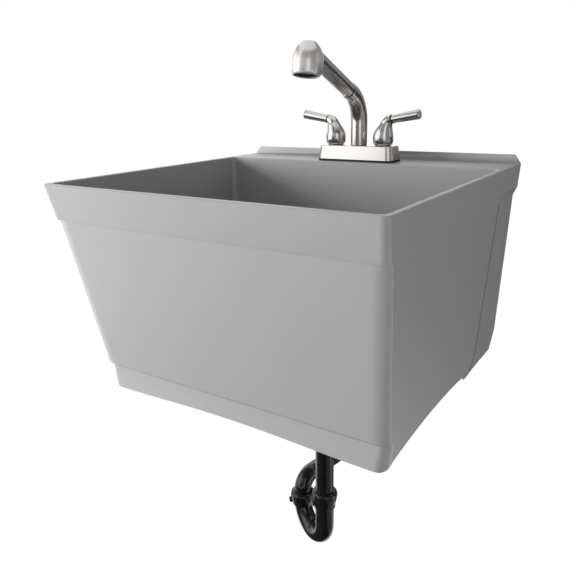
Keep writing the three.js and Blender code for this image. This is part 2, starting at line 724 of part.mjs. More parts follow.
// A hexagon-head screw with its washer face, pointing along +Z from the sheet's front.
function bracketScrew(name, x) {
  const seat = -GAP;
  const head = seat - SCREW_WASHER_THICKNESS;
  const tip = SCREW_LENGTH;
  const body = turned(
    [
      [0, head],
      [SCREW_WASHER_RADIUS, head],
      [SCREW_WASHER_RADIUS, seat],
      [SCREW_RADIUS, seat],
      [SCREW_RADIUS, tip - 3 * SCREW_RADIUS],
      [0, tip],
    ],
    COARSE
  );
  const hexagon = rod(SCREW_HEAD_RADIUS, head - SCREW_HEAD_HEIGHT, head + 0.5, 6);
  const mesh = part(name, zincSteel, body.add(hexagon));
  mesh.position.set(x, -BRACKET_THICKNESS, -SCREW_DROP);
  mesh.rotation.x = -Math.PI / 2;
  return mesh;
}

// ---------------------------------------------------------------- drain

function drainFlange() {
  const rise = (drop) => below(drop);
  const profile = [
    [DRAIN_THREAD_RADIUS, rise(DRAIN_FOOT_DROP)],
    [DRAIN_THREAD_RADIUS, rise(FLANGE_SEAT_DROP)],
    [DRAIN_FLANGE_RADIUS, rise(FLANGE_SEAT_DROP)],
    [DRAIN_FLANGE_RADIUS, rise(LAND_DROP + 0.5)],
    [DRAIN_FLANGE_RADIUS - 2, rise(LAND_DROP)],
    [DRAIN_THROAT_RADIUS + 1.5, rise(LAND_DROP)],
    [DRAIN_THROAT_RADIUS, rise(LAND_DROP + 1.5)],
    [DRAIN_THROAT_RADIUS, rise(DRAIN_FOOT_DROP)],
    [DRAIN_THREAD_RADIUS, rise(DRAIN_FOOT_DROP)],
  ];
  return part("drain_flange", polishedSteel, turned(profile, FINE));
}

function drainGasket() {
  const top = below(BOSS_DROP + GAP);
  const inner = DRAIN_THREAD_RADIUS + GAP;
  const solid = ring(DRAIN_GASKET_RADIUS, inner, top - DRAIN_GASKET_THICKNESS, top);
  return part("drain_gasket", rubber, solid);
}

function drainLocknut() {
  const top = below(BOSS_DROP + DRAIN_GASKET_THICKNESS + 2 * GAP);
  const foot = top - LOCKNUT_HEIGHT;
  const hub = ring(LOCKNUT_RADIUS - 4, DRAIN_THREAD_RADIUS + GAP, foot, top);
  const lug = () => block(LOCKNUT_RADIUS - 6, LOCKNUT_RADIUS, -5, 5, foot, top);
  return part("drain_locknut", mattBlack, join([hub, ...around(6, lug)]));
}

function strainerBasket() {
  const rimZ = below(LAND_DROP) + GAP;
  const foot = rimZ - STRAINER_DEPTH;
  const sheet = STRAINER_SHEET;
  const profile = [
    [0, foot],
    [STRAINER_CUP_RADIUS - 3, foot],
    [STRAINER_CUP_RADIUS, foot + 3],
    [STRAINER_CUP_RADIUS, rimZ],
    [STRAINER_RIM_RADIUS, rimZ],
    [STRAINER_RIM_RADIUS, rimZ + sheet],
    [STRAINER_CUP_RADIUS - sheet, rimZ + sheet],
    [STRAINER_CUP_RADIUS - sheet, foot + 3 + sheet / 2],
    [STRAINER_CUP_RADIUS - 3 - sheet, foot + sheet],
    [0, foot + sheet],
  ];
  const hole = (radius) => () =>
    rod(STRAINER_HOLE_RADIUS, foot - 2, foot + 3, 8).translate([radius, 0, 0]);
  const holes = [
    ...around(STRAINER_HOLES, hole(STRAINER_CUP_RADIUS * 0.62)),
    ...around(STRAINER_HOLES / 2, hole(STRAINER_CUP_RADIUS * 0.33)),
  ];
  return part("strainer_basket", polishedSteel, cut(turned(profile), holes));
}

function strainerKnob() {
  const foot = below(LAND_DROP) + GAP - STRAINER_DEPTH + STRAINER_SHEET + GAP;
  const top = below(LAND_DROP) + KNOB_HEIGHT / 2;
  const profile = [
    [0, foot],
    [2, foot],
    [2, top - KNOB_HEIGHT],
    [KNOB_RADIUS * 0.8, top - KNOB_HEIGHT],
    [KNOB_RADIUS, top - KNOB_HEIGHT * 0.6],
    [KNOB_RADIUS, top - 1.5],
    [KNOB_RADIUS - 1.5, top],
    [0, top],
  ];
  return part("strainer_knob", mattBlack, turned(profile, COARSE));
}

function couplingNut() {
  const top = below(COUPLING_FOOT_DROP - COUPLING_HEIGHT);
  const lip = below(COUPLING_FOOT_DROP - COUPLING_LIP);
  const foot = below(COUPLING_FOOT_DROP);
  const threadBore = DRAIN_THREAD_RADIUS + GAP;
  const tubeBore = WASTE_RADIUS + GAP;
  const profile = [
    [COUPLING_RADIUS, foot],
    [COUPLING_RADIUS, top],
    [threadBore, top],
    [threadBore, lip],
    [tubeBore, lip],
    [tubeBore, foot],
    [COUPLING_RADIUS, foot],
  ];
  const solid = join([turned(profile), ...nutRibs(COUPLING_RADIUS, foot, top)]);
  return part("drain_coupling_nut", glossBlack, solid);
}

function nutRibs(radius, foot, top) {
  const [near, far] = [radius - 1.5, radius + NUT_RIB_HEIGHT];
  const half = NUT_RIB_WIDTH / 2;
  return around(NUT_RIBS, () => block(near, far, -half, half, foot + 1.5, top - 3));
}

function tailpieceWasher() {
  const top = below(TAIL_WASHER_DROP);
  const inner = WASTE_RADIUS - TUBE_WALL;
  const solid = ring(FERRULE_RADIUS, inner, top - TAIL_WASHER_THICKNESS, top);
  return part("tailpiece_washer", rubber, solid);
}

function tailpiece() {
  const bore = WASTE_RADIUS - TUBE_WALL;
  const profile = [
    [WASTE_RADIUS, below(TAILPIECE_FOOT_DROP)],
    [WASTE_RADIUS, below(FERRULE_FOOT_DROP)],
    [FERRULE_RADIUS, below(FERRULE_FOOT_DROP)],
    [FERRULE_RADIUS, below(FERRULE_DROP)],
    [bore, below(FERRULE_DROP)],
    [bore, below(TAILPIECE_FOOT_DROP)],
    [WASTE_RADIUS, below(TAILPIECE_FOOT_DROP)],
  ];
  return part("tailpiece", glossBlack, turned(profile, FINE));
}

// ---------------------------------------------------------------- trap

// A slip nut with a lip that presses a washer on to the socket below it, and two finger wings.
function slipNut({ name, radius, top, height, wingAngle }) {
  const foot = top - height;
  const lip = top - NUT_LIP;
  const waist = foot + height * NUT_TAPER_SHARE;
  const threadBore = SOCKET_RADIUS + GAP;
  const tubeBore = WASTE_RADIUS + GAP;
  const profile = [
    [radius - NUT_TAPER, foot],
    [radius, waist],
    [radius, lip],
    [radius - 2.5, top - 1],
    [radius - 4, top],
    [tubeBore, top],
    [tubeBore, lip],
    [threadBore, lip],
    [threadBore, foot],
    [radius - NUT_TAPER, foot],
  ];
  const [near, far] = [threadBore + 0.4, radius + WING_LENGTH];
  const side = WING_WIDTH / 2;
  const wingFoot = foot - WING_DROP;
  const wing = () => block(near, far, -side, side, wingFoot, wingFoot + WING_HEIGHT);
  const angle = THREE.MathUtils.radToDeg(wingAngle);
  const wings = around(2, wing).map((tab) => tab.rotate([0, 0, angle]));
  const whole = join([turned(profile), ...nutRibs(radius, waist - 3, lip + 1), ...wings]);
  return part(name, glossBlack, whole);
}

function slipWasher(name, lipDrop) {
  const top = below(lipDrop + GAP);
  const inner = WASTE_RADIUS + GAP;
  const profile = [
    [SOCKET_RADIUS - 2, top - SLIP_WASHER_HEIGHT],
    [SOCKET_RADIUS, top - SLIP_WASHER_HEIGHT + 2],
    [SOCKET_RADIUS, top],
    [inner, top],
    [inner, top - SLIP_WASHER_HEIGHT],
    [SOCKET_RADIUS - 2, top - SLIP_WASHER_HEIGHT],
  ];
  return part(name, rubber, turned(profile));
}

function jBendRun() {
  const top = below(TAILPIECE_FOOT_DROP + GAP);
  return {
    start: new THREE.Vector3(0, DRAIN_Y, top),
    direction: new THREE.Vector3(0, 0, -1),
    side: new THREE.Vector3(Math.cos(TRAP_ANGLE), Math.sin(TRAP_ANGLE), 0),
    lead: top - below(TRAP_BEND_DROP),
    bendRadius: TRAP_RADIUS,
    angle: Math.PI,
    tail: 0.5,
    steps: 14,
  };
}

function jBend() {
  const run = jBendRun();
  const socket = (x, y, top, length) =>
    rod(SOCKET_RADIUS, top - length, top).translate([x, y, 0]);
  const socketHole = (x, y, top, foot) =>
    rod(WASTE_RADIUS + GAP, foot, top + 1).translate([x, y, 0]);
  const inletTop = below(INLET_SOCKET_DROP);
  const outletTop = below(OUTLET_SOCKET_DROP);
  const solid = join([
    bar(run, TRAP_TUBE_RADIUS, MEDIUM),
    socket(0, DRAIN_Y, inletTop, INLET_SOCKET_LENGTH),
    socket(OUTLET_X, OUTLET_Y, outletTop, OUTLET_SOCKET_LENGTH),
  ]);
  const holes = [
    bar(run, TRAP_TUBE_RADIUS - TRAP_TUBE_WALL, COARSE, 2),
    socketHole(0, DRAIN_Y, inletTop, below(TAILPIECE_FOOT_DROP + GAP)),
    socketHole(OUTLET_X, OUTLET_Y, outletTop, below(TRAP_BEND_DROP)),
  ];
  return part("trap_j_bend", glossBlack, cut(solid, holes));
}

function wallBendRun() {
  const foot = below(TRAP_BEND_DROP) + GAP;
  const arm = new THREE.Vector3(Math.cos(ELBOW_ANGLE), Math.sin(ELBOW_ANGLE), 0);
  const elbowEndY = OUTLET_Y + ELBOW_RADIUS * arm.y;
  return {
    start: new THREE.Vector3(OUTLET_X, OUTLET_Y, foot),
    direction: new THREE.Vector3(0, 0, 1),
    side: arm,
    lead: below(ELBOW_LEG_TOP_DROP) - foot,
    bendRadius: ELBOW_RADIUS,
    angle: Math.PI / 2,
    tail: (-ARM_WALL_CLEARANCE - elbowEndY) / arm.y,
    steps: 8,
  };
}

function wallBend() {
  const run = wallBendRun();
  const outer = bar(run, WASTE_RADIUS, MEDIUM);
  const inner = bar(run, WASTE_RADIUS - TUBE_WALL, COARSE, 2);
  return part("trap_wall_bend", glossBlack, outer.subtract(inner));
}

// ---------------------------------------------------------------- faucet base and valves
// Heights from here on are over the deck, on the faucet's centre line.

function basePad() {
  const level = (z) =>
    loop({
      half: BASE_LENGTH / 2 + PAD_MARGIN,
      front: -BASE_DEPTH / 2 - PAD_MARGIN,
      rear: BASE_DEPTH / 2 + PAD_MARGIN,
      z,
      frontRadius: BASE_RADIUS + PAD_MARGIN,
    });
  const sheet = loft([level(GAP), level(PAD_TOP)]);
  const hole = (x) => rod(SHANK_RADIUS + 2, -5, 5).translate([x, 0, 0]);
  return part("faucet_base_pad", rubber, cut(sheet, [-VALVE_X, 0, VALVE_X].map(hole)));
}

function basePlate() {
  const level = (height, inset) => {
    const lean = inset + (height - BASE_FOOT) * Math.tan(BASE_DRAFT);
    return loop({
      half: BASE_LENGTH / 2 - lean,
      front: -BASE_DEPTH / 2 + lean,
      rear: BASE_DEPTH / 2 - lean,
      z: height,
      frontRadius: BASE_RADIUS - Math.min(inset, BASE_RADIUS / 2),
    });
  };
  const round = BASE_TOP_ROUND;
  const shell = loft([
    level(BASE_FOOT, 0),
    level(BASE_TOP - round, 0),
    level(BASE_TOP - round * 0.3, round * 0.3),
    level(BASE_TOP, round),
  ]);
  const hollow = loft([level(BASE_FOOT - 1, BASE_SHELL), level(BASE_TOP - BASE_SHELL, BASE_SHELL)]);
  const hole = (x, radius) => rod(radius, BASE_TOP - 10, BASE_TOP + 5).translate([x, 0, 0]);
  const holes = [
    hole(-VALVE_X, VALVE_NECK_RADIUS + GAP),
    hole(VALVE_X, VALVE_NECK_RADIUS + GAP),
    hole(0, SPOUT_RADIUS - SPOUT_WALL - RUNNING_GAP + GAP),
  ];
  return part("faucet_base_plate", brushedNickel, cut(shell, [hollow, ...holes]));
}

function valveBody(name, x) {
  const flangeFoot = BASE_FOOT + GAP;
  const flangeTop = flangeFoot + VALVE_FLANGE_THICKNESS;
  const stemBore = STEM_RADIUS + RUNNING_GAP;
  const stemFoot = BASE_TOP - STEM_DEPTH - GAP;
  const profile = [
    [SHANK_RADIUS, -SHANK_DROP],
    [SHANK_RADIUS, flangeFoot],
    [VALVE_FLANGE_RADIUS, flangeFoot],
    [VALVE_FLANGE_RADIUS, flangeTop],
    [VALVE_NECK_RADIUS, flangeTop],
    [VALVE_NECK_RADIUS, NECK_TOP],
    [stemBore, NECK_TOP],
    [stemBore, stemFoot],
    [0, stemFoot],
    [0, flangeFoot],
    [SHANK_BORE_RADIUS, flangeFoot - 4],
    [SHANK_BORE_RADIUS, -SHANK_DROP],
    [SHANK_RADIUS, -SHANK_DROP],
  ];
  return part(name, brass, turned(profile).translate([x, 0, 0]));
}

function swivelShank() {
  const neck = SPOUT_RADIUS - SPOUT_WALL - RUNNING_GAP;
  const flangeFoot = BASE_FOOT + GAP;
  const profile = [
    [SHANK_RADIUS + 1, -SHANK_DROP],
    [SHANK_RADIUS + 1, flangeFoot],
    [VALVE_FLANGE_RADIUS, flangeFoot],
    [VALVE_FLANGE_RADIUS, flangeFoot + VALVE_FLANGE_THICKNESS],
    [neck, flangeFoot + VALVE_FLANGE_THICKNESS],
    [neck, BASE_TOP + SWIVEL_RISE],
    [SWIVEL_BORE_RADIUS, BASE_TOP + SWIVEL_RISE],
    [SWIVEL_BORE_RADIUS, -SHANK_DROP],
    [SHANK_RADIUS + 1, -SHANK_DROP],
  ];
  return part("spout_swivel_shank", brass, turned(profile));
}

function shankWasher(name, x, shankRadius) {
  const top = -DECK_THICKNESS - GAP;
  const solid = ring(SHANK_WASHER_RADIUS, shankRadius + GAP, top - SHANK_WASHER_THICKNESS, top);
  return part(name, zincSteel, solid.translate([x, 0, 0]));
}

function shankNut(name, x, shankRadius) {
  const top = -DECK_THICKNESS - 2 * GAP - SHANK_WASHER_THICKNESS;
  const foot = top - SHANK_NUT_HEIGHT;
  const hub = ring(SHANK_NUT_RADIUS - 5, shankRadius + GAP, foot, top);
  const lug = () => block(SHANK_NUT_RADIUS - 7, SHANK_NUT_RADIUS, -2.2, 2.2, foot, top - 1);
  const solid = join([hub, ...around(SHANK_NUT_LUGS, lug)]).rotate([0, 0, 45]);
  return part(name, whitePlastic, solid.translate([x, 0, 0]));
}

// ---------------------------------------------------------------- handles
// A handle is built on its valve axis with the lever pointing along +X, and heights are over
// the base plate.

// A circle of points, tilted about Y by angle, with its centre at [x, z].
function hoop(x, z, radius, angle) {
  return Array.from({ length: COARSE }, (_, i) => {
    const turn = (2 * Math.PI * i) / COARSE;
    const out = radius * Math.cos(turn);
    return new THREE.Vector3(
      x + out * Math.cos(angle),
      radius * Math.sin(turn),
      z - out * Math.sin(angle)
    );
  });
}

// The bell swells over the valve, then bends over an inner corner into the swan neck.
function bellStations() {
  const swell = BELL_RADIUS - BELL_FOOT_RADIUS;
  const rise = (share) => GAP + (BELL_HEIGHT - GAP) * share;
  const lean = NECK_PIVOT_REACH - 0.7 - NECK_FOOT_RADIUS;
  const upright = [
    [0, 0, BELL_FOOT_RADIUS],
    [0, 0.06, BELL_FOOT_RADIUS + swell * 0.45],
    [0, 0.18, BELL_RADIUS - swell * 0.15],
    [0, 0.34, BELL_RADIUS],
    [0.01, 0.5, BELL_RADIUS - swell * 0.08],
    [0.14, 0.66, BELL_RADIUS - (BELL_RADIUS - NECK_FOOT_RADIUS) * 0.27],
    [0.45, 0.84, BELL_RADIUS - (BELL_RADIUS - NECK_FOOT_RADIUS) * 0.64],
  ];
  const hoops = upright.map(([shift, share, radius]) => hoop(lean * shift, rise(share), radius, 0));
  const steps = 7;
  for (let i = 0; i <= steps; i += 1) {
    const share = i / steps;
    const angle = (Math.PI / 2 - LEVER_PITCH) * share;
    const radius = NECK_FOOT_RADIUS + (NECK_END_RADIUS - NECK_FOOT_RADIUS) * Math.sqrt(share);
    const reach = radius + 0.7;
    const x = NECK_PIVOT_REACH - reach * Math.cos(angle);
    hoops.push(hoop(x, BELL_HEIGHT + reach * Math.sin(angle), radius, angle));
  }
  return hoops;
}

// Where the swan neck's face ends, and the frame that the lever follows from there.
const neckReach = NECK_END_RADIUS + 0.7;
const LEVER_ROOT = [
  NECK_PIVOT_REACH - neckReach * Math.sin(LEVER_PITCH),
  0,
  BELL_HEIGHT + neckReach * Math.cos(LEVER_PITCH),
];

function handleBell(name) {
  const socket = rod(BELL_SOCKET_RADIUS, -1, NECK_RISE + BELL_SOCKET_DEPTH);
  const stemHole = rod(STEM_RADIUS + GAP, 0, NECK_RISE + STEM_RISE + GAP);
  return part(name, brushedNickel, cut(loft(bellStations()), [socket, stemHole]));
}

function valveStem(name) {
  const solid = rod(STEM_RADIUS, -STEM_DEPTH, NECK_RISE + STEM_RISE, COARSE);
  return part(name, brass, solid);
}

// The collar, sleeve and tip lie along Z from the neck's face.
function lever(side) {
  const sleeveFoot = COLLAR_LENGTH + 2 * GAP;
  const sleeveTop = sleeveFoot + LEVER_LENGTH;
  const tipFoot = sleeveTop + GAP;
  const collar = rod(COLLAR_RADIUS, GAP, GAP + COLLAR_LENGTH, COARSE);
  const sleeve = turned(
    [[0, sleeveFoot], [LEVER_ROOT_RADIUS, sleeveFoot], [LEVER_END_RADIUS, sleeveTop], [0, sleeveTop]],
    COARSE
  );
  const tip = turned(
    [
      [0, tipFoot],
      [LEVER_END_RADIUS, tipFoot],
      [LEVER_END_RADIUS, tipFoot + TIP_LENGTH * 0.25],
      [LEVER_END_RADIUS - 1.2, tipFoot + TIP_LENGTH * 0.7],
      [TIP_FACE_RADIUS, tipFoot + TIP_LENGTH],
      [0, tipFoot + TIP_LENGTH],
    ],
    COARSE
  );
  const pieces = [
    part(`${side}_lever_collar`, mattBlack, collar),
    part(`${side}_lever_sleeve`, brushedNickel, sleeve),
    part(`${side}_lever_tip`, brushedNickel, tip),
  ];
  return group(pieces, LEVER_ROOT, [0, Math.PI / 2 - LEVER_PITCH, 0]);
}

function handle(side, x, turn) {
  const pieces = [handleBell(`${side}_handle_bell`), valveStem(`${side}_valve_stem`), lever(side)];
  return group(pieces, [x, 0, BASE_TOP], [0, 0, turn]);
}

// ---------------------------------------------------------------- spout and spray

const SPOUT_RUN = {
  start: new THREE.Vector3(0, 0, BASE_TOP + GAP),
  direction: new THREE.Vector3(0, 0, 1),
  side: new THREE.Vector3(0, -1, 0),
  lead: SPOUT_STRAIGHT - GAP,
  bendRadius: SPOUT_BEND_RADIUS,
  angle: Math.PI / 2 - WAND_PITCH,
  tail: SPOUT_MOUTH,
  steps: 8,
};

function spout() {
  const outer = bar(SPOUT_RUN, SPOUT_RADIUS, MEDIUM);
  const inner = bar(SPOUT_RUN, SPOUT_RADIUS - SPOUT_WALL, MEDIUM, 2);
  return part("spout", brushedNickel, outer.subtract(inner));
}

// The bush sits on the swivel shank's top, inside the spout.
function swivelBush() {
  const foot = BASE_TOP + SWIVEL_RISE + GAP;
  const outer = SPOUT_RADIUS - SPOUT_WALL - GAP;
  const solid = ring(outer, outer - BUSH_THICKNESS, foot, foot + BUSH_HEIGHT);
  return part("spout_swivel_bush", whitePlastic, solid);
}

const WELL_FLOOR = HEAD_HEIGHT - BUTTON_THICKNESS - 4; // of the button's well in the crown

// The spray head's outline over its mouth, as [radius, height].
function headOutline(grow) {
  const shares = [
    [HEAD_MOUTH_RADIUS, 0],
    [HEAD_MOUTH_RADIUS + 1.7, 0.05],
    [HEAD_RADIUS - 0.9, 0.2],
    [HEAD_RADIUS, 0.36],
    [HEAD_RADIUS - 0.4, 0.5],
    [HEAD_RADIUS - 1.8, 0.66],
    [HEAD_RADIUS - 4.9, 0.8],
    [HEAD_CROWN_RADIUS + 3.4, 0.93],
    [HEAD_CROWN_RADIUS, 1],
  ];
  return shares.map(([radius, share]) => [radius + grow, share * HEAD_HEIGHT]);
}

function headSolid(grow) {
  return turned([[0, -grow], ...headOutline(grow), [0, HEAD_HEIGHT + grow]], FINE);
}

function headShell() {
  const recess = rod(HEAD_MOUTH_RADIUS - MOUTH_WALL, -1, MOUTH_RECESS);
  const crown = rod(BUTTON_RADIUS + BEZEL_WIDTH + GAP, WELL_FLOOR, HEAD_HEIGHT + 1);
  return part("spray_head_shell", brushedNickel, cut(headSolid(0), [recess, crown]));
}

function nozzleRing() {
  const outer = HEAD_MOUTH_RADIUS - MOUTH_WALL - GAP;
  const solid = ring(outer, outer - NOZZLE_RING_WIDTH, NOZZLE_SETBACK, MOUTH_RECESS - GAP, FINE);
  return part("spray_nozzle_ring", mattBlack, solid);
}

function nozzleFace() {
  const radius = HEAD_MOUTH_RADIUS - MOUTH_WALL - NOZZLE_RING_WIDTH - 2 * GAP;
  const solid = rod(radius, NOZZLE_SETBACK + 1.5, MOUTH_RECESS - GAP);
  return part("spray_nozzle_face", mattBlack, solid);
}

function buttonBezel() {
  const outer = BUTTON_RADIUS + BEZEL_WIDTH;
  const foot = HEAD_HEIGHT - BUTTON_THICKNESS;
  const solid = ring(outer, outer - BEZEL_WIDTH + GAP, foot, HEAD_HEIGHT + 0.4, FINE);
  return part("spray_button_bezel", mattBlack, solid);
}

// The button rests on nothing: it has its travel's room under it in the crown.
function sprayButton() {
  const foot = WELL_FLOOR + BUTTON_TRAVEL + GAP;
  const top = HEAD_HEIGHT + 1;
  const profile = [
    [0, foot],
    [BUTTON_RADIUS, foot],
    [BUTTON_RADIUS, top - 1],
    [BUTTON_RADIUS - 1, top],
    [0, top],
  ];
  return part("spray_button", brushedNickel, turned(profile));
}

// The wand lies along Z from the spout's mouth, and its local Y points up and back.
const HEAD_TURN = -(Math.PI / 2 - WAND_PITCH) - HEAD_TILT;
const HEAD_PLACE = [
  0,
  HEAD_BELOW_WAND * Math.sin(HEAD_TURN),
  WAND_LENGTH - HEAD_BELOW_WAND * Math.cos(HEAD_TURN),
];

function wandTube() {
  const head = headSolid(GAP)
    .rotate([THREE.MathUtils.radToDeg(HEAD_TURN), 0, 0])
    .translate(HEAD_PLACE);
  const start = SEAL_THICKNESS + 2 * GAP;
  const tube = rod(WAND_RADIUS, start, WAND_LENGTH - WAND_END_SETBACK, FINE);
  const side = KEY_WIDTH / 2;
  const foot = -WAND_RADIUS - KEY_HEIGHT;
  const key = block(-side, side, foot, foot + KEY_HEIGHT + 2, start, start + KEY_LENGTH);
  return part("spray_wand", brushedNickel, join([tube, key]).subtract(head));
}

// The spigot docks in the spout's mouth, seals it with its rim and carries the hose's end.
function wandSpigot() {
  const rim = WAND_RADIUS - SEAL_SETBACK;
  const profile = [
    [0, -SPIGOT_LENGTH - HOSE_STUB],
    [HOSE_RADIUS, -SPIGOT_LENGTH - HOSE_STUB],
    [HOSE_RADIUS, -SPIGOT_LENGTH],
    [SPIGOT_RADIUS - 1.5, -SPIGOT_LENGTH],
    [SPIGOT_RADIUS, -SPIGOT_LENGTH + 1.5],
    [SPIGOT_RADIUS, GAP],
    [rim, GAP],
    [rim, GAP + SEAL_THICKNESS],
    [0, GAP + SEAL_THICKNESS],
  ];
  return part("spray_hose_spigot", mattBlack, turned(profile, MEDIUM));
}

function sprayWand() {
  const head = group(
    [headShell(), nozzleRing(), nozzleFace(), buttonBezel(), sprayButton()],
    HEAD_PLACE,
    [HEAD_TURN, 0, 0]
  );
  const mouth = endOf(SPOUT_RUN).toArray();
  return group([wandTube(), wandSpigot(), head], mouth, [Math.PI / 2 - WAND_PITCH, 0, 0]);
}

// ---------------------------------------------------------------- assembly

const bracketGroup = group([
  bracket(),
  ...screwPlaces().map((x, i) => bracketScrew(`bracket_screw_${i + 1}`, x)),
]);

const drainGroup = group(
  [
    drainFlange(),
    drainGasket(),
    drainLocknut(),
    strainerBasket(),
    strainerKnob(),
    couplingNut(),
    tailpieceWasher(),
    tailpiece(),
  ],
  [0, DRAIN_Y, 0]
);

const inletJoint = group(
  [
    slipNut({
      name: "trap_inlet_nut",
      radius: INLET_NUT_RADIUS,
      top: below(INLET_NUT_DROP),
      height: INLET_NUT_HEIGHT,
      wingAngle: INLET_WING_ANGLE,
    }),
    slipWasher("trap_inlet_washer", INLET_LIP_DROP),
  ],
  [0, DRAIN_Y, 0]
);
const outletJoint = group(
  [
    slipNut({
      name: "trap_outlet_nut",
      radius: OUTLET_NUT_RADIUS,
      top: below(OUTLET_NUT_DROP),
      height: OUTLET_NUT_HEIGHT,
      wingAngle: OUTLET_WING_ANGLE,
    }),
    slipWasher("trap_outlet_washer", OUTLET_LIP_DROP),
  ],
  [OUTLET_X, OUTLET_Y, 0]
);
const trapGroup = group([inletJoint, outletJoint, jBend(), wallBend()]);

const faucetGroup = group(
  [
    basePad(),
    basePlate(),
    valveBody("hot_valve_body", -VALVE_X),
    valveBody("cold_valve_body", VALVE_X),
    swivelShank(),
    shankWasher("hot_shank_washer", -VALVE_X, SHANK_RADIUS),
    shankWasher("cold_shank_washer", VALVE_X, SHANK_RADIUS),
    shankWasher("spout_shank_washer", 0, SHANK_RADIUS + 1),
    shankNut("hot_shank_nut", -VALVE_X, SHANK_RADIUS),
    shankNut("cold_shank_nut", VALVE_X, SHANK_RADIUS),
    shankNut("spout_shank_nut", 0, SHANK_RADIUS + 1),
    handle("hot", -VALVE_X, Math.PI),
    handle("cold", VALVE_X, 0),
    spout(),
    swivelBush(),
    sprayWand(),
  ],
  [0, FAUCET_Y, RIM_Z]
);

export default group([tub(), bracketGroup, drainGroup, trapGroup, faucetGroup]);
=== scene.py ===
"""Studio scene of a wall-hung utility laundry sink.

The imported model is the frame. The pieces that the eye meets first, which are the moulded tub,
the brushed faucet with its pull-out spray and the glossy trap, get their final surfaces here;
the hidden pieces keep their solids and get a finish. Sizes are millimetres in the classes and
metres in the meshes, in the frame of the model: +X right, +Y into the wall, +Z up.
"""

from __future__ import annotations

import logging
import math
from dataclasses import dataclass, field, replace
from enum import Enum

import bmesh
import bpy
import numpy as np
from mathutils import Matrix

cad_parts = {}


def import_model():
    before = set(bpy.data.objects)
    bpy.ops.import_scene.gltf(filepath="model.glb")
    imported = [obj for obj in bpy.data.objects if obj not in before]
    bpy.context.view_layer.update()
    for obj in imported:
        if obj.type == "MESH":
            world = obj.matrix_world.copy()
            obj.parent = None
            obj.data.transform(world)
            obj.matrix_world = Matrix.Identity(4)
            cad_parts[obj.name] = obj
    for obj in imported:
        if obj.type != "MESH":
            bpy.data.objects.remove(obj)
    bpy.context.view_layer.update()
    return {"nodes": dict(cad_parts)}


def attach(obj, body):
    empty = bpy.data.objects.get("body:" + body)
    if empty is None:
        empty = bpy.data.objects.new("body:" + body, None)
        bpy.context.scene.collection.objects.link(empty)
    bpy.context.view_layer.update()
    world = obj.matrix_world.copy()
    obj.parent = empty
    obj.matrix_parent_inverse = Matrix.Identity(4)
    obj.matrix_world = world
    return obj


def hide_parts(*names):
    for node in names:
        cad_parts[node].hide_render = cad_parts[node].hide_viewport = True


LOG = logging.getLogger("laundry_sink")
MM = 0.001
GAP = 0.3
MERGE_M = 2e-6
TURN = 2.0 * math.pi
UP = np.array([0.0, 0.0, 1.0])
RIM_Z = 62.0
SQUARE = ((-1, -1), (1, -1), (1, 1), (-1, 1))
WHITE = (1.0, 1.0, 1.0, 1.0)

Array = np.ndarray
Outline = tuple[tuple[float, float], ...]
Profile = list[tuple[float, float, float]]


# ---- arithmetic of surfaces


def vector(x: float, y: float, z: float) -> Array:
    """A point or direction as an array."""
    return np.array([x, y, z], float)


@dataclass(frozen=True)
class Place:
    """A rigid move: a point p goes to p @ turn.T + shift, in millimetres."""

    shift: Array = field(default_factory=lambda: vector(0, 0, 0))
    turn: Array = field(default_factory=lambda: np.eye(3))

    def of(self, points: Array) -> Array:
        """Moves an array of points whose last axis is x, y, z."""
        return points @ self.turn.T + self.shift

    def then(self, outer: "Place") -> "Place":
        """This move followed by another one."""
        return Place(outer.of(self.shift), outer.turn @ self.turn)


def turned_about(axis: str, angle: float) -> Array:
    """The 3x3 matrix of a right-handed turn.

    Args:
        axis: "x", "y" or "z".
        angle: The turn in radians.

    Returns:
        The rotation matrix.
    """
    c, s = math.cos(angle), math.sin(angle)
    table = {
        "x": [[1, 0, 0], [0, c, -s], [0, s, c]],
        "y": [[c, 0, s], [0, 1, 0], [-s, 0, c]],
        "z": [[c, -s, 0], [s, c, 0], [0, 0, 1]],
    }
    return np.array(table[axis], float)


@dataclass(frozen=True)
class Skin:
    """Points in millimetres with the quads between them."""

    points: Array
    quads: Array

    def moved(self, place: Place) -> "Skin":
        """The same skin after a rigid move."""
        return Skin(place.of(self.points), self.quads)

    def __add__(self, other: "Skin") -> "Skin":
        """Both skins as one list of points and quads."""
        shifted = other.quads + len(self.points)
        return Skin(np.vstack([self.points, other.points]), np.vstack([self.quads, shifted]))


def skin_of(grid: Array, loop: bool = False) -> Skin:
    """Quads over a grid of points whose columns run round and close.

    Args:
        grid: Points of shape (rows, columns, 3).
        loop: Whether the last row joins the first, as on a tube with a wall.

    Returns:
        The skin.
    """
    rows, columns = grid.shape[:2]
    i, j = np.meshgrid(np.arange(rows if loop else rows - 1), np.arange(columns), indexing="ij")
    below, beside = (i + 1) % rows, (j + 1) % columns
    corners = [i * columns + j, i * columns + beside, below * columns + beside, below * columns + j]
    return Skin(grid.reshape(-1, 3), np.stack(corners, -1).reshape(-1, 4))


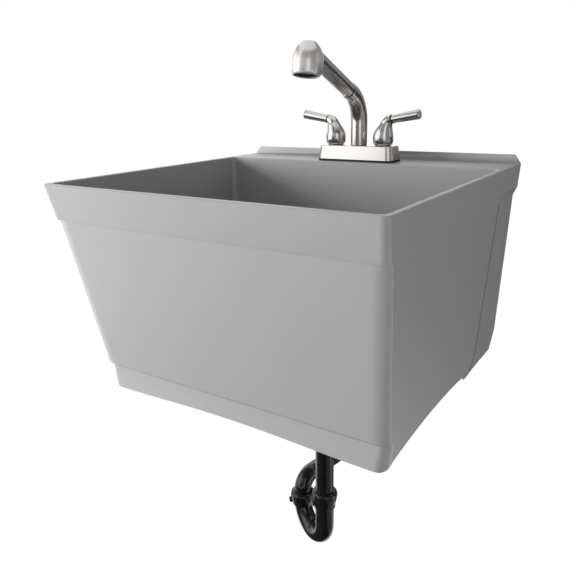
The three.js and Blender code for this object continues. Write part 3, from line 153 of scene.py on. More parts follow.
def softened(profile: Profile, steps: int = 5) -> Array:
    """A profile with rounded corners.

    Each corner P is replaced by the parabola (1-t)^2 A + 2t(1-t) P + t^2 B, where A and B lie on
    its two sides, as far from P as the corner's own rounding says, and t goes from 0 to 1.

    Args:
        profile: Corners as (along, radius, rounding).
        steps: Stretches on each rounded corner.

    Returns:
        Points as an array of (along, radius), without repeated points.
    """
    table = np.array(profile, float)
    corner, reach = table[:, :2], table[:, 2]
    to_next = np.roll(corner, -1, 0) - corner
    length = np.maximum(np.linalg.norm(to_next, axis=1), 1e-9)
    ahead = to_next / length[:, None]
    behind = -np.roll(ahead, 1, 0)
    room = 0.49 * np.minimum(length, np.roll(length, 1))
    reach = np.minimum(reach, room)
    reach[[0, -1]] = 0.0
    first = corner + behind * reach[:, None]
    last = corner + ahead * reach[:, None]
    t = np.linspace(0.0, 1.0, steps + 1)[None, :, None]
    curve = (1 - t) ** 2 * first[:, None] + 2 * t * (1 - t) * corner[:, None] + t**2 * last[:, None]
    points = curve.reshape(-1, 2)
    step = np.linalg.norm(np.diff(points, axis=0), axis=1)
    return points[np.concatenate([[True], step > 1e-6])]


def filled_in(profile: Array, stride: float) -> Array:
    """A profile with extra points, so that no stretch is longer than the stride.

    Args:
        profile: Points as (along, radius).
        stride: The longest stretch, in millimetres.

    Returns:
        The denser profile.
    """
    lengths = np.linalg.norm(np.diff(profile, axis=0), axis=1)
    run = np.concatenate([[0.0], np.cumsum(lengths)])
    count = max(2, int(math.ceil(run[-1] / stride)))
    places = np.union1d(run, np.linspace(0.0, run[-1], count))
    places = places[np.concatenate([[True], np.diff(places) > 0.02])]
    return np.stack([np.interp(places, run, column) for column in profile.T], -1)


def eased(values: list[tuple[float, ...]], steps: int) -> Array:
    """A smooth line through stations, by the Catmull-Rom rule.

    Between stations b and c, with a before and d after, the line is
    b + t (c-a)/2 + t^2 (a - 5b/2 + 2c - d/2) + t^3 (3(b-c) + d - a)/2.

    Args:
        values: Stations with any number of columns.
        steps: Stretches between two stations.

    Returns:
        The points of the line.
    """
    p = np.array(values, float)
    padded = np.vstack([2 * p[0] - p[1], p, 2 * p[-1] - p[-2]])
    a, b, c, d = (padded[k : len(p) - 1 + k, None, :] for k in range(4))
    t = np.linspace(0.0, 1.0, steps, endpoint=False)[None, :, None]
    line = b + t * (c - a) / 2 + t**2 * (a - 2.5 * b + 2 * c - d / 2)
    line = line + t**3 * (3 * (b - c) + d - a) / 2
    return np.vstack([line.reshape(-1, p.shape[1]), p[-1:]])


@dataclass(frozen=True)
class Path:
    """A straight lead, a bend in one plane and a straight tail."""

    start: Array
    direction: Array
    side: Array
    lead: float = 1e4
    bend_radius: float = 1.0
    angle: float = 0.0

    def carry(self, profile: Array, segments: int, swell: Array | None = None) -> Array:
        """Carries a profile of (along, radius) round the path.

        At the distance s the bend has turned by q = (s - lead) / bend radius, kept between 0 and
        the bend's angle. The centre lies on the arc at q, moved on along the heading by what is
        left of s, and the circle there lies across the heading.

        Args:
            profile: Distances along the path with the radius there.
            segments: Points round the circle.
            swell: Extra radius for each point of the grid, of shape (rows, segments).

        Returns:
            A grid of points.
        """
        along, radius = profile[:, 0], profile[:, 1]
        q = np.clip((along - self.lead) / self.bend_radius, 0.0, self.angle)
        rest = (along - self.lead - self.bend_radius * q)[:, None]
        c, s = np.cos(q)[:, None], np.sin(q)[:, None]
        heading = self.direction * c + self.side * s
        outward = self.side * c - self.direction * s
        centre = self.start + self.direction * self.lead + heading * rest
        centre = centre + self.side * (self.bend_radius * (1 - c)) + self.direction * (self.bend_radius * s)
        across = np.cross(self.direction, self.side)
        round_angle = np.linspace(0.0, TURN, segments, endpoint=False)[None, :]
        reach = radius[:, None] + (0.0 if swell is None else swell)
        first = (reach * np.cos(round_angle))[..., None] * outward[:, None, :]
        second = (reach * np.sin(round_angle))[..., None] * across
        return centre[:, None, :] + first + second

    def place_at(self, along: float) -> Array:
        """The centre of the path at a distance along it."""
        return self.carry(np.array([[along, 0.0]]), 3)[0, 0]


def upright(x: float = 0.0, y: float = 0.0, z: float = 0.0) -> Path:
    """A path straight up from a point, whose side is +X."""
    return Path(vector(x, y, z), UP, vector(1, 0, 0))


def lathed(profile: Profile, segments: int) -> Skin:
    """A softened profile turned about the Z axis.

    Args:
        profile: Corners as (along, radius, rounding). A first corner on the axis makes a solid,
            and any other one a tube whose last point joins the first.
        segments: Points round the circle.

    Returns:
        The skin.
    """
    points = softened(profile)
    repeated = profile[0] == profile[-1]
    grid = upright().carry(points[:-1] if repeated else points, segments)
    return skin_of(grid, loop=profile[0][1] > 0.0)


def rod(foot: float, top: float, radii: tuple[float, float], soft: tuple[float, float]) -> Profile:
    """The profile of a solid rod from its foot to its top, with its radius and rounding at each."""
    return [(foot, 0.0, 0.0), (foot, radii[0], soft[0]), (top, radii[1], soft[1]), (top, 0.0, 0.0)]


def pipe(
    path: Path,
    end: float,
    radii: tuple[float, float],
    soft: tuple[float, float],
    stride: float,
    segments: int,
) -> Skin:
    """A tube with a wall and softened ends, carried along a path.

    Args:
        path: Its middle line.
        end: How far it runs.
        radii: Its bore and outside radius.
        soft: The rounding of its first and last outer edge.
        stride: The longest stretch along it.
        segments: Points round the circle.

    Returns:
        The skin.
    """
    bore, radius = radii
    ends = [(0.0, bore, 0.0), (0.0, radius, soft[0]), (end, radius, soft[1]), (end, bore, 0.0)]
    outer = filled_in(softened(ends), stride)
    inner = filled_in(np.array([(end, bore), (0.0, bore)], float), stride)[1:-1]
    return skin_of(path.carry(np.vstack([outer, inner]), segments), loop=True)


def between(values: Array, low: float, high: float, soft: float) -> Array:
    """One between two limits and nothing outside, with straight flanks of the soft width.

    Args:
        values: The values to test.
        low: The lower limit.
        high: The upper limit.
        soft: The width of each flank.

    Returns:
        A weight from 0 to 1 for each value.
    """
    rise = np.clip((values - low) / soft + 0.5, 0.0, 1.0)
    fall = np.clip((high - values) / soft + 0.5, 0.0, 1.0)
    return rise * fall


def rounded_box(half: Array, depth: Array, radius: Array, height: Array, steps: int = 9) -> Array:
    """Level rounded rectangles, one for each row.

    The point at the angle a of a corner's quarter circle lies at the corner's centre plus the
    radius times (cos a, sin a), and the corner's centre is the radius in from both sides.

    Args:
        half: Half of the length along X, for each row.
        depth: Half of the depth along Y, for each row.
        radius: The corner's radius, for each row.
        height: The height, for each row.
        steps: Stretches on each corner.

    Returns:
        A grid of points.
    """
    quarter = np.linspace(0.0, math.pi / 2, steps + 1)
    angle = (quarter[None, :] + np.arange(4)[:, None] * math.pi / 2).reshape(-1)
    sign_x = np.repeat([1.0, -1.0, -1.0, 1.0], steps + 1)
    sign_y = np.repeat([1.0, 1.0, -1.0, -1.0], steps + 1)
    x = sign_x * (half - radius)[:, None] + radius[:, None] * np.cos(angle)
    y = sign_y * (depth - radius)[:, None] + radius[:, None] * np.sin(angle)
    return np.stack([x, y, np.broadcast_to(height[:, None], x.shape)], -1)


# ---- finishes


def linear(colour: str) -> tuple[float, float, float, float]:
    """An sRGB hex colour as linear red, green, blue and an alpha of one.

    Args:
        colour: Six hex digits.

    Returns:
        Red, green, blue and alpha.
    """
    share = np.array([int(colour[k : k + 2], 16) for k in (0, 2, 4)]) / 255.0
    low, high = share / 12.92, ((share + 0.055) / 1.055) ** 2.4
    red, green, blue = np.where(share <= 0.04045, low, high)
    return float(red), float(green), float(blue), 1.0


def add_node(
    tree: bpy.types.NodeTree,
    kind: str,
    inputs: dict[str | int, object] | None = None,
    **settings: object,
) -> bpy.types.Node:
    """Adds a node with its settings and links.

    Args:
        tree: The tree that gets the node.
        kind: The node's type.
        inputs: For each input, a value or the socket that feeds it.
        **settings: The node's own properties.

    Returns:
        The node.
    """
    node = tree.nodes.new(kind)
    for name, value in settings.items():
        setattr(node, name, value)
    for name, value in (inputs or {}).items():
        if isinstance(value, bpy.types.NodeSocket):
            tree.links.new(value, node.inputs[name])
        else:
            node.inputs[name].default_value = value
    return node


def fresh_tree(owner: bpy.types.Material | bpy.types.World) -> bpy.types.NodeTree:
    """The emptied node tree of a material or a world.

    Args:
        owner: The material or world.

    Returns:
        Its tree, with no nodes.
    """
    owner.use_nodes = True
    owner.node_tree.nodes.clear()
    return owner.node_tree


class Grain(Enum):
    """The way that the marks of a finish run, as their length along X, Y and Z over their width."""

    EVEN = (1.0, 1.0, 1.0)
    ALONG_X = (50.0, 1.0, 1.0)
    ALONG_Y = (1.0, 50.0, 1.0)
    ALONG_Z = (1.0, 1.0, 50.0)


@dataclass(frozen=True)
class Finish:
    """A surface: its colour with a soft drift, its gloss and its fine relief.

    The drift is how the colour wanders over tens of millimetres, and the relief is the mark that
    the mould, brush or tool left, drawn at its own spacing.
    """

    name: str
    slot: str
    colour: str
    second_colour: str
    roughness: float
    roughness_spread: float
    metallic: float = 0.0
    drift_mm: float = 60.0
    relief_mm: float = 0.6
    relief_depth_mm: float = 0.02
    relief_strength: float = 0.15
    grain: Grain = Grain.EVEN
    grain_turn: tuple[float, float, float] = (0.0, 0.0, 0.0)

    def material(self) -> bpy.types.Material:
        """Builds the material.

        Returns:
            The material, which reads Object coordinates.
        """
        found = bpy.data.materials.get(self.name)
        if found is not None:
            return found
        material = bpy.data.materials.new(self.name)
        tree = fresh_tree(material)
        coordinates = add_node(tree, "ShaderNodeTexCoord").outputs["Object"]
        stretched = add_node(
            tree,
            "ShaderNodeMapping",
            {"Vector": coordinates, "Rotation": self.grain_turn, "Scale": self.grain.value},
            vector_type="TEXTURE",
        ).outputs["Vector"]
        drift = add_node(
            tree,
            "ShaderNodeTexNoise",
            {"Vector": coordinates, "Scale": 1.0 / (self.drift_mm * MM), "Detail": 3.0},
        ).outputs["Fac"]
        marks = add_node(
            tree,
            "ShaderNodeTexNoise",
            {"Vector": stretched, "Scale": 1.0 / (self.relief_mm * MM), "Detail": 2.0},
        ).outputs["Fac"]
        colour = add_node(
            tree,
            "ShaderNodeMix",
            {0: drift, 6: linear(self.colour), 7: linear(self.second_colour)},
            data_type="RGBA",
        ).outputs[2]
        low = max(0.02, self.roughness - self.roughness_spread)
        high = self.roughness + self.roughness_spread
        rough = add_node(
            tree,
            "ShaderNodeMapRange",
            {"Value": marks, "From Min": 0.3, "From Max": 0.7, "To Min": low, "To Max": high},
        ).outputs["Result"]
        bump = add_node(
            tree,
            "ShaderNodeBump",
            {"Height": marks, "Strength": self.relief_strength, "Distance": self.relief_depth_mm * MM},
        ).outputs["Normal"]
        shader = add_node(
            tree,
            "ShaderNodeBsdfPrincipled",
            {
                "Base Color": self.marks_and_shade(tree, coordinates, colour),
                "Roughness": rough,
                "Normal": bump,
                "Metallic": self.metallic,
            },
        )
        add_node(tree, "ShaderNodeOutputMaterial", {"Surface": shader.outputs["BSDF"]})
        return material

    def marks_and_shade(
        self, tree: bpy.types.NodeTree, coordinates: bpy.types.NodeSocket, colour: bpy.types.NodeSocket
    ) -> bpy.types.NodeSocket:
        """The colour with the piece's own marks and any painted shade, of which a plain finish has none."""
        return colour


@dataclass(frozen=True)
class SeamShadeFinish(Finish):
    """A moulded skin with painted shade: a dark line down each side of the tub.

    The line runs in front of the step where the rear skirt begins. At the drop d below the rim
    its distance from the wall is the reach at the top plus (d - top) times its slope. It lies
    where the outward normal times the distance from the middle is over side_from.
    """

    line_top: float = 57.5
    line_foot: float = 323.0
    reach_top: float = 114.2
    reach_foot: float = 128.0
    line_width: float = 3.2
    # Colour of the painted shade line along the step to the rear skirt.
    seam_shade_colour: str = "1c1c1d"
    side_from: float = 0.1

    def marks_and_shade(
        self, tree: bpy.types.NodeTree, coordinates: bpy.types.NodeSocket, colour: bpy.types.NodeSocket
    ) -> bpy.types.NodeSocket:
        """Paints shade along the line in front of the skirt's step.

        Args:
            tree: The material's tree.
            coordinates: Object coordinates, in metres.
            colour: The colour without the painted shade line.

        Returns:
            The colour with the line.
        """
        slope = (self.reach_foot - self.reach_top) / (self.line_foot - self.line_top)
        at_zero = (self.reach_top + (RIM_Z - self.line_top) * slope + self.line_width / 2) * MM
        lean = {0: coordinates, 1: (0.0, 1.0, -slope)}
        across = add_node(tree, "ShaderNodeVectorMath", lean, operation="DOT_PRODUCT").outputs["Value"]
        shifted = add_node(tree, "ShaderNodeMath", {0: across, 1: at_zero}, operation="ADD").outputs[0]
        distance = add_node(tree, "ShaderNodeMath", {0: shifted}, operation="ABSOLUTE").outputs[0]
        near, far = (self.line_width * share * MM for share in (0.4, 0.6))
        limits = {"Value": distance, "From Min": near, "From Max": far, "To Min": 1.0, "To Max": 0.0}
        seam_shade_mask = add_node(tree, "ShaderNodeMapRange", limits).outputs["Result"]
        axes = add_node(tree, "ShaderNodeSeparateXYZ", {"Vector": coordinates}).outputs
        normal = add_node(tree, "ShaderNodeTexCoord").outputs["Normal"]
        facing = add_node(tree, "ShaderNodeSeparateXYZ", {"Vector": normal}).outputs["X"]
        outward = add_node(tree, "ShaderNodeMath", {0: axes["X"], 1: facing}, operation="MULTIPLY")
        conditions = (
            ("GREATER_THAN", outward.outputs[0], self.side_from),
            ("LESS_THAN", axes["Z"], (RIM_Z - self.line_top) * MM),
        )
        for operation, value, limit in conditions:
            holds = add_node(tree, "ShaderNodeMath", {0: value, 1: limit}, operation=operation).outputs[0]
            seam_shade_mask = add_node(tree, "ShaderNodeMath", {0: seam_shade_mask, 1: holds}, operation="MULTIPLY").outputs[0]
        # Painted shade: the grey turns dark where the mask holds.
        return add_node(
            tree, "ShaderNodeMix", {0: seam_shade_mask, 6: colour, 7: linear(self.seam_shade_colour)}, data_type="RGBA"
        ).outputs[2]


# Polypropylene, moulded and coloured through: an even neutral grey with a satin skin, and a fine
# pebble left by the mould that spreads every highlight.
# The tub's finish also paints a dark shade line down each side, where the rear skirt steps in.
POLYPROPYLENE = SeamShadeFinish(
    "moulded_polypropylene", "tub_plastic", "a0a0a1", "9c9c9d", 0.40, 0.05,
    drift_mm=140.0, relief_mm=1.4, relief_depth_mm=0.03, relief_strength=0.12,
)
# Nickel plate brushed along the piece and lacquered: a warm grey that mirrors the lights as long
# streaks with soft edges. The marks are too fine to see one by one and only blur the streaks.
BRUSHED_NICKEL_X = Finish(
    "brushed_nickel_lengthwise", "brushed_nickel", "cfccca", "c8c5c2", 0.20, 0.02, metallic=1.0,
    relief_mm=0.25, relief_depth_mm=0.0006, relief_strength=0.05, grain=Grain.ALONG_X,
)
BRUSHED_NICKEL_Y = replace(
    BRUSHED_NICKEL_X, name="brushed_nickel_wand", grain=Grain.ALONG_Y,
    grain_turn=(-math.radians(23.3), 0.0, 0.0),
)
BRUSHED_NICKEL_Z = replace(
    BRUSHED_NICKEL_X, name="brushed_nickel_upright", grain=Grain.ALONG_Z, roughness=0.19
)
# The spray's shell is plastic with a metallic lacquer: less mirror-like than the plated brass
# and softer, so that it shades from light to dark like a satin ball.
NICKEL_LACQUER = Finish(
    "nickel_lacquer", "brushed_nickel", "dedbd9", "d8d5d3", 0.31, 0.03, metallic=0.70,
    relief_mm=0.4, relief_depth_mm=0.001, relief_strength=0.05,
)
# The button's cap is the same lacquer over a dark base, worn by the thumb.
BUTTON_LACQUER = replace(
    NICKEL_LACQUER, name="button_lacquer", colour="6a625e", second_colour="5c5551", roughness=0.45
)
# Stainless steel, pressed and tumbled bright: a clean mirror with faint round scratches.
STAINLESS_STEEL = Finish(
    "tumbled_stainless_steel", "polished_steel", "cfcfcf", "c4c5c6", 0.16, 0.05, metallic=1.0,
    relief_mm=0.8, relief_depth_mm=0.006, relief_strength=0.12,
)
# Bright zinc on steel strip: bluish and slightly blotched, as electroplate is.
ZINC_PLATE = Finish(
    "zinc_plated_steel", "zinc_steel", "a3a8ac", "8d9398", 0.42, 0.10, metallic=1.0,
    drift_mm=9.0, relief_mm=0.7, relief_depth_mm=0.01, relief_strength=0.2,
)
# Brass as it leaves the lathe: yellow and bright, with the tool's rings.
TURNED_BRASS = Finish(
    "turned_brass", "brass", "b9914f", "a9823f", 0.30, 0.08, metallic=1.0,
    relief_mm=0.5, relief_depth_mm=0.01, relief_strength=0.25, grain=Grain.ALONG_X,
)
# Injection-moulded ABS, nearly black, polished in the mould, so that it shows clear streaks.
GLOSS_BLACK_ABS = Finish(
    "gloss_black_abs", "gloss_black", "141415", "1a1a1b", 0.14, 0.04,
    drift_mm=30.0, relief_mm=2.5, relief_depth_mm=0.02, relief_strength=0.08,
)
# Black acetal with a spark-eroded mould texture: dull, and lighter at grazing angles.
MATT_BLACK_ACETAL = Finish(
    "matt_black_acetal", "matt_black", "1b1b1c", "222223", 0.55, 0.08,
    drift_mm=12.0, relief_mm=0.4, relief_depth_mm=0.02, relief_strength=0.3,
)
# Cured rubber, dull with a bloom that lightens it in patches.
BLACK_RUBBER = Finish(
    "cured_rubber", "rubber", "1f1f20", "2a2a2a", 0.82, 0.08,
    drift_mm=8.0, relief_mm=0.6, relief_depth_mm=0.03, relief_strength=0.35,
)
# Natural nylon, milky white with a soft sheen.
NATURAL_NYLON = Finish(
    "natural_nylon", "white_plastic", "dad9d4", "d0cfc9", 0.48, 0.06,
    drift_mm=15.0, relief_mm=0.6, relief_depth_mm=0.02, relief_strength=0.15,
)


# ---- pieces


def linked(name: str, data: bpy.types.ID) -> bpy.types.Object:
    """A new object in the scene for a mesh, a lamp or a camera.

    Args:
        name: The object's name.
        data: What it shows.

    Returns:
        The object.
    """
    obj = bpy.data.objects.new(name, data)
    bpy.context.scene.collection.objects.link(obj)
    return obj


def piece(
    name: str,
    source: Skin | bpy.types.Object,
    finish: Finish,
    body: str,
    node: str,
    sharp: float = 32.0,
) -> None:
    """Makes a piece that rides on a body and stands for one of its solids.

    A skin's poles and seams are merged and its faces turned outwards. A solid's faces point
    outwards already, so only its doubled points are merged.

    Args:
        name: The piece's name.
        source: Its surface in millimetres, or the solid whose faces it copies.
        finish: Its finish.
        body: The body that carries it.
        node: The solid that it stands for.
        sharp: The angle in degrees from which an edge is drawn sharp.
    """
    is_skin = isinstance(source, Skin)
    mesh = bpy.data.meshes.new(name)
    if is_skin:
        mesh.from_pydata((source.points * MM).tolist(), [], source.quads.tolist())
    work = bmesh.new()
    work.from_mesh(mesh if is_skin else source.data)
    bmesh.ops.remove_doubles(work, verts=work.verts, dist=MERGE_M)
    bmesh.ops.dissolve_degenerate(work, edges=work.edges, dist=MERGE_M / 2)
    if is_skin:
        bmesh.ops.recalc_face_normals(work, faces=work.faces)
    work.to_mesh(mesh)
    work.free()
    mesh.shade_smooth()
    mesh.set_sharp_from_angle(angle=math.radians(sharp))
    mesh.materials.append(finish.material())
    obj = linked(name, mesh)
    shading = obj.modifiers.new("even_shading", "WEIGHTED_NORMAL")
    shading.mode = "FACE_AREA"
    shading.weight = 50
    shading.keep_sharp = True
    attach(obj, body)
    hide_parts(node)
    LOG.info("%s on %s: %d faces", name, body, len(mesh.polygons))


# ---- tub


@dataclass
class Tub:
    """The moulded tub, whose solid keeps its shape and has its curved edges shaded as curves."""

    sharp: float = 26.0

    def build(self, nodes: dict[str, bpy.types.Object]) -> None:
        """Makes the tub from the model's solids by name."""
        piece("tub_moulding", nodes["tub"], POLYPROPYLENE, "fixture", "tub", self.sharp)


# ---- trap


@dataclass(frozen=True)
class SlipNut:
    """A slip nut's size, its upper face's height and its first wing's angle from +X."""

    radius: float
    top: float
    height: float
    wing: float


@dataclass
class Trap:
    """The tailpiece, the J-bend, the wall bend and their slip nuts."""

    axis_y: float = -201.5
    waste_radius: float = 19.05
    tube_wall: float = 1.6
    ferrule_radius: float = 22.6
    ferrule_top: float = RIM_Z - 377.6
    ferrule_thickness: float = 2.4
    tailpiece_foot: float = RIM_Z - 699.0
    bend_top: float = RIM_Z - 758.5
    bend_radius: float = 49.5
    bend_angle: float = math.radians(150)
    bend_tube_radius: float = 19.8
    bend_tube_wall: float = 2.3
    socket_radius: float = 22.8
    socket_step: float = 2.0
    inlet_socket_depth: float = 30.0
    outlet_socket_drop: float = 8.0
    inlet_nut: SlipNut = SlipNut(26.0, RIM_Z - 673.5, 30.0, math.radians(240))
    outlet_nut: SlipNut = SlipNut(26.8, RIM_Z - 736.5, 31.0, math.radians(213))
    nut_lip: float = 5.0
    nut_taper: float = 2.2
    nut_taper_share: float = 0.42
    nut_shoulder_drop: float = 3.5
    nut_crown_drop: float = 1.0
    nut_crown_inset: float = 2.5
    nut_face_inset: float = 4.5
    nut_stride: float = 0.8
    washer_height: float = 5.0
    rib_count: int = 8
    rib_height: float = 1.1
    rib_width: float = 5.0
    rib_foot_drop: float = 1.0
    rib_top_drop: float = 5.5
    rib_flank: float = 0.8
    wing_length: float = 5.5
    wing_width: float = 5.0
    wing_height: float = 15.0
    wing_drop: float = 3.0
    wing_flank: float = 0.9
    end_flank: float = 1.2
    elbow_radius: float = 31.6
    elbow_angle: float = math.radians(80.5)
    elbow_leg_top: float = RIM_Z - 735.0
    arm_wall_clearance: float = 5.0
    stride: float = 2.5
    segments: int = 72

    @property
    def inlet(self) -> Place:
        """Where the tailpiece stands, from the Z axis."""
        return Place(vector(0, self.axis_y, 0))

    @property
    def outlet(self) -> Place:
        """Where the outlet leg stands, from the Z axis."""
        reach = 2 * self.bend_radius * self.bend_side
        return Place(self.inlet.shift + reach)

    @property
    def bend_side(self) -> Array:
        """The way from the inlet to the outlet."""
        return vector(math.cos(self.bend_angle), math.sin(self.bend_angle), 0)

    def tailpiece(self) -> Skin:
        """The tailpiece: a thin tube with a ferrule at its upper end.

        Returns:
            The skin.
        """
        bore = self.waste_radius - self.tube_wall
        seat = self.ferrule_top - self.ferrule_thickness
        profile = [
            (self.tailpiece_foot, bore, 0.0),
            (self.tailpiece_foot, self.waste_radius, 0.6),
            (seat, self.waste_radius, 0.8),
            (seat, self.ferrule_radius, 0.5),
            (self.ferrule_top, self.ferrule_radius, 0.5),
            (self.ferrule_top, bore, 0.0),
        ]
        return lathed(profile, self.segments).moved(self.inlet)

    def j_bend(self) -> Skin:
        """The J-bend: a tube carried round half a turn, with a socket at each end.

        Returns:
            The skin.
        """
        below_nut = self.nut_lip + 2 * GAP + self.washer_height
        top = self.inlet_nut.top - below_nut
        seat = top - self.tailpiece_foot + GAP
        lead = top - self.bend_top
        turned = lead + math.pi * self.bend_radius
        end = turned + self.outlet_nut.top - below_nut - self.bend_top
        socket_bore = self.waste_radius + GAP
        tube, bore = self.bend_tube_radius, self.bend_tube_radius - self.bend_tube_wall
        shoulder = turned - self.outlet_socket_drop
        profile = [
            (0.0, socket_bore, 0.0),
            (0.0, self.socket_radius, 0.8),
            (self.inlet_socket_depth, self.socket_radius, 1.5),
            (self.inlet_socket_depth + self.socket_step, tube, 2.0),
            (shoulder - self.socket_step, tube, 2.0),
            (shoulder, self.socket_radius, 1.5),
            (end, self.socket_radius, 0.8),
            (end, socket_bore, 0.5),
            (turned, socket_bore, 0.3),
            (turned, bore, 0.5),
            (seat, bore, 0.3),
            (seat, socket_bore, 0.0),
        ]
        start = self.inlet.shift + UP * top
        path = Path(start, -UP, self.bend_side, lead, self.bend_radius, math.pi)
        return skin_of(path.carry(filled_in(softened(profile), self.stride), self.segments), loop=True)

    def wall_bend(self) -> Skin:
        """The elbow and arm that run to the wall.

        Returns:
            The skin.
        """
        place, foot = self.outlet.shift, self.bend_top + GAP
        arm = vector(math.cos(self.elbow_angle), math.sin(self.elbow_angle), 0)
        lead = self.elbow_leg_top - foot
        tail = (-self.arm_wall_clearance - place[1] - self.elbow_radius * arm[1]) / arm[1]
        end = lead + self.elbow_radius * math.pi / 2 + tail
        path = Path(place + UP * foot, UP, arm, lead, self.elbow_radius, math.pi / 2)
        radii = (self.waste_radius - self.tube_wall, self.waste_radius)
        return pipe(path, end, radii, (0.5, 0.5), self.stride, self.segments)

    def slip_nut(self, nut: SlipNut) -> Skin:
        """A slip nut, with ribs and two finger wings raised from its side.

        The side's radius is that of the profile, plus the rib's height where the angle lies on a
        rib and the height between waist and lip, plus the wing's length where the angle lies on a
        wing and the height within the wing's.

        Args:
            nut: The nut's sizes.

        Returns:
            The skin about the Z axis.
        """
        top, radius = nut.top, nut.radius
        foot, lip = top - nut.height, top - self.nut_lip
        waist = foot + nut.height * self.nut_taper_share
        thread_bore, tube_bore = self.socket_radius + GAP, self.waste_radius + GAP
        outer = [
            (foot, thread_bore, 0.0),
            (foot, radius - self.nut_taper, 0.4),
            (waist, radius, 2.0),
            (top - self.nut_shoulder_drop, radius, 1.5),
            (top - self.nut_crown_drop, radius - self.nut_crown_inset, 1.0),
            (top, radius - self.nut_face_inset, 0.5),
        ]
        side = filled_in(softened(outer), self.nut_stride)
        profile = np.vstack([side, [(top, tube_bore), (lip, tube_bore), (lip, thread_bore)]])
        segments = 4 * self.segments
        angle = np.linspace(0.0, TURN, segments, endpoint=False)[None, :]
        height = profile[:, :1]
        on_side = np.zeros((len(profile), 1))
        on_side[4 : len(side) - 6] = 1.0
        pitch = TURN / self.rib_count
        rib_offset = (np.mod(angle + pitch / 2, pitch) - pitch / 2) * radius
        rib_foot, rib_top = waist - self.rib_foot_drop, top - self.rib_top_drop
        ribs = between(rib_offset, -self.rib_width / 2, self.rib_width / 2, self.rib_flank)
        ribs = ribs * between(height, rib_foot, rib_top, self.end_flank) * self.rib_height
        wing_offset = (np.mod(angle - nut.wing + math.pi / 2, math.pi) - math.pi / 2) * radius
        wings = between(wing_offset, -self.wing_width / 2, self.wing_width / 2, self.wing_flank)
        wing_top = foot - self.wing_drop + self.wing_height
        wings = wings * between(height, foot - self.nut_lip, wing_top, self.end_flank) * self.wing_length
        grid = upright().carry(profile, segments, np.maximum(ribs, wings) * on_side)
        return skin_of(grid, loop=True)

    def build(self) -> None:
        """Makes all the pieces of the trap."""
        pieces = (
            ("tailpiece_tube", self.tailpiece(), "tailpiece"),
            ("j_bend_tube", self.j_bend(), "trap_j_bend"),
            ("wall_bend_tube", self.wall_bend(), "trap_wall_bend"),
            ("inlet_slip_nut", self.slip_nut(self.inlet_nut).moved(self.inlet), "trap_inlet_nut"),
            ("outlet_slip_nut", self.slip_nut(self.outlet_nut).moved(self.outlet), "trap_outlet_nut"),
        )
        for name, skin, node in pieces:
            piece(name, skin, GLOSS_BLACK_ABS, "fixture", node)


# ---- faucet


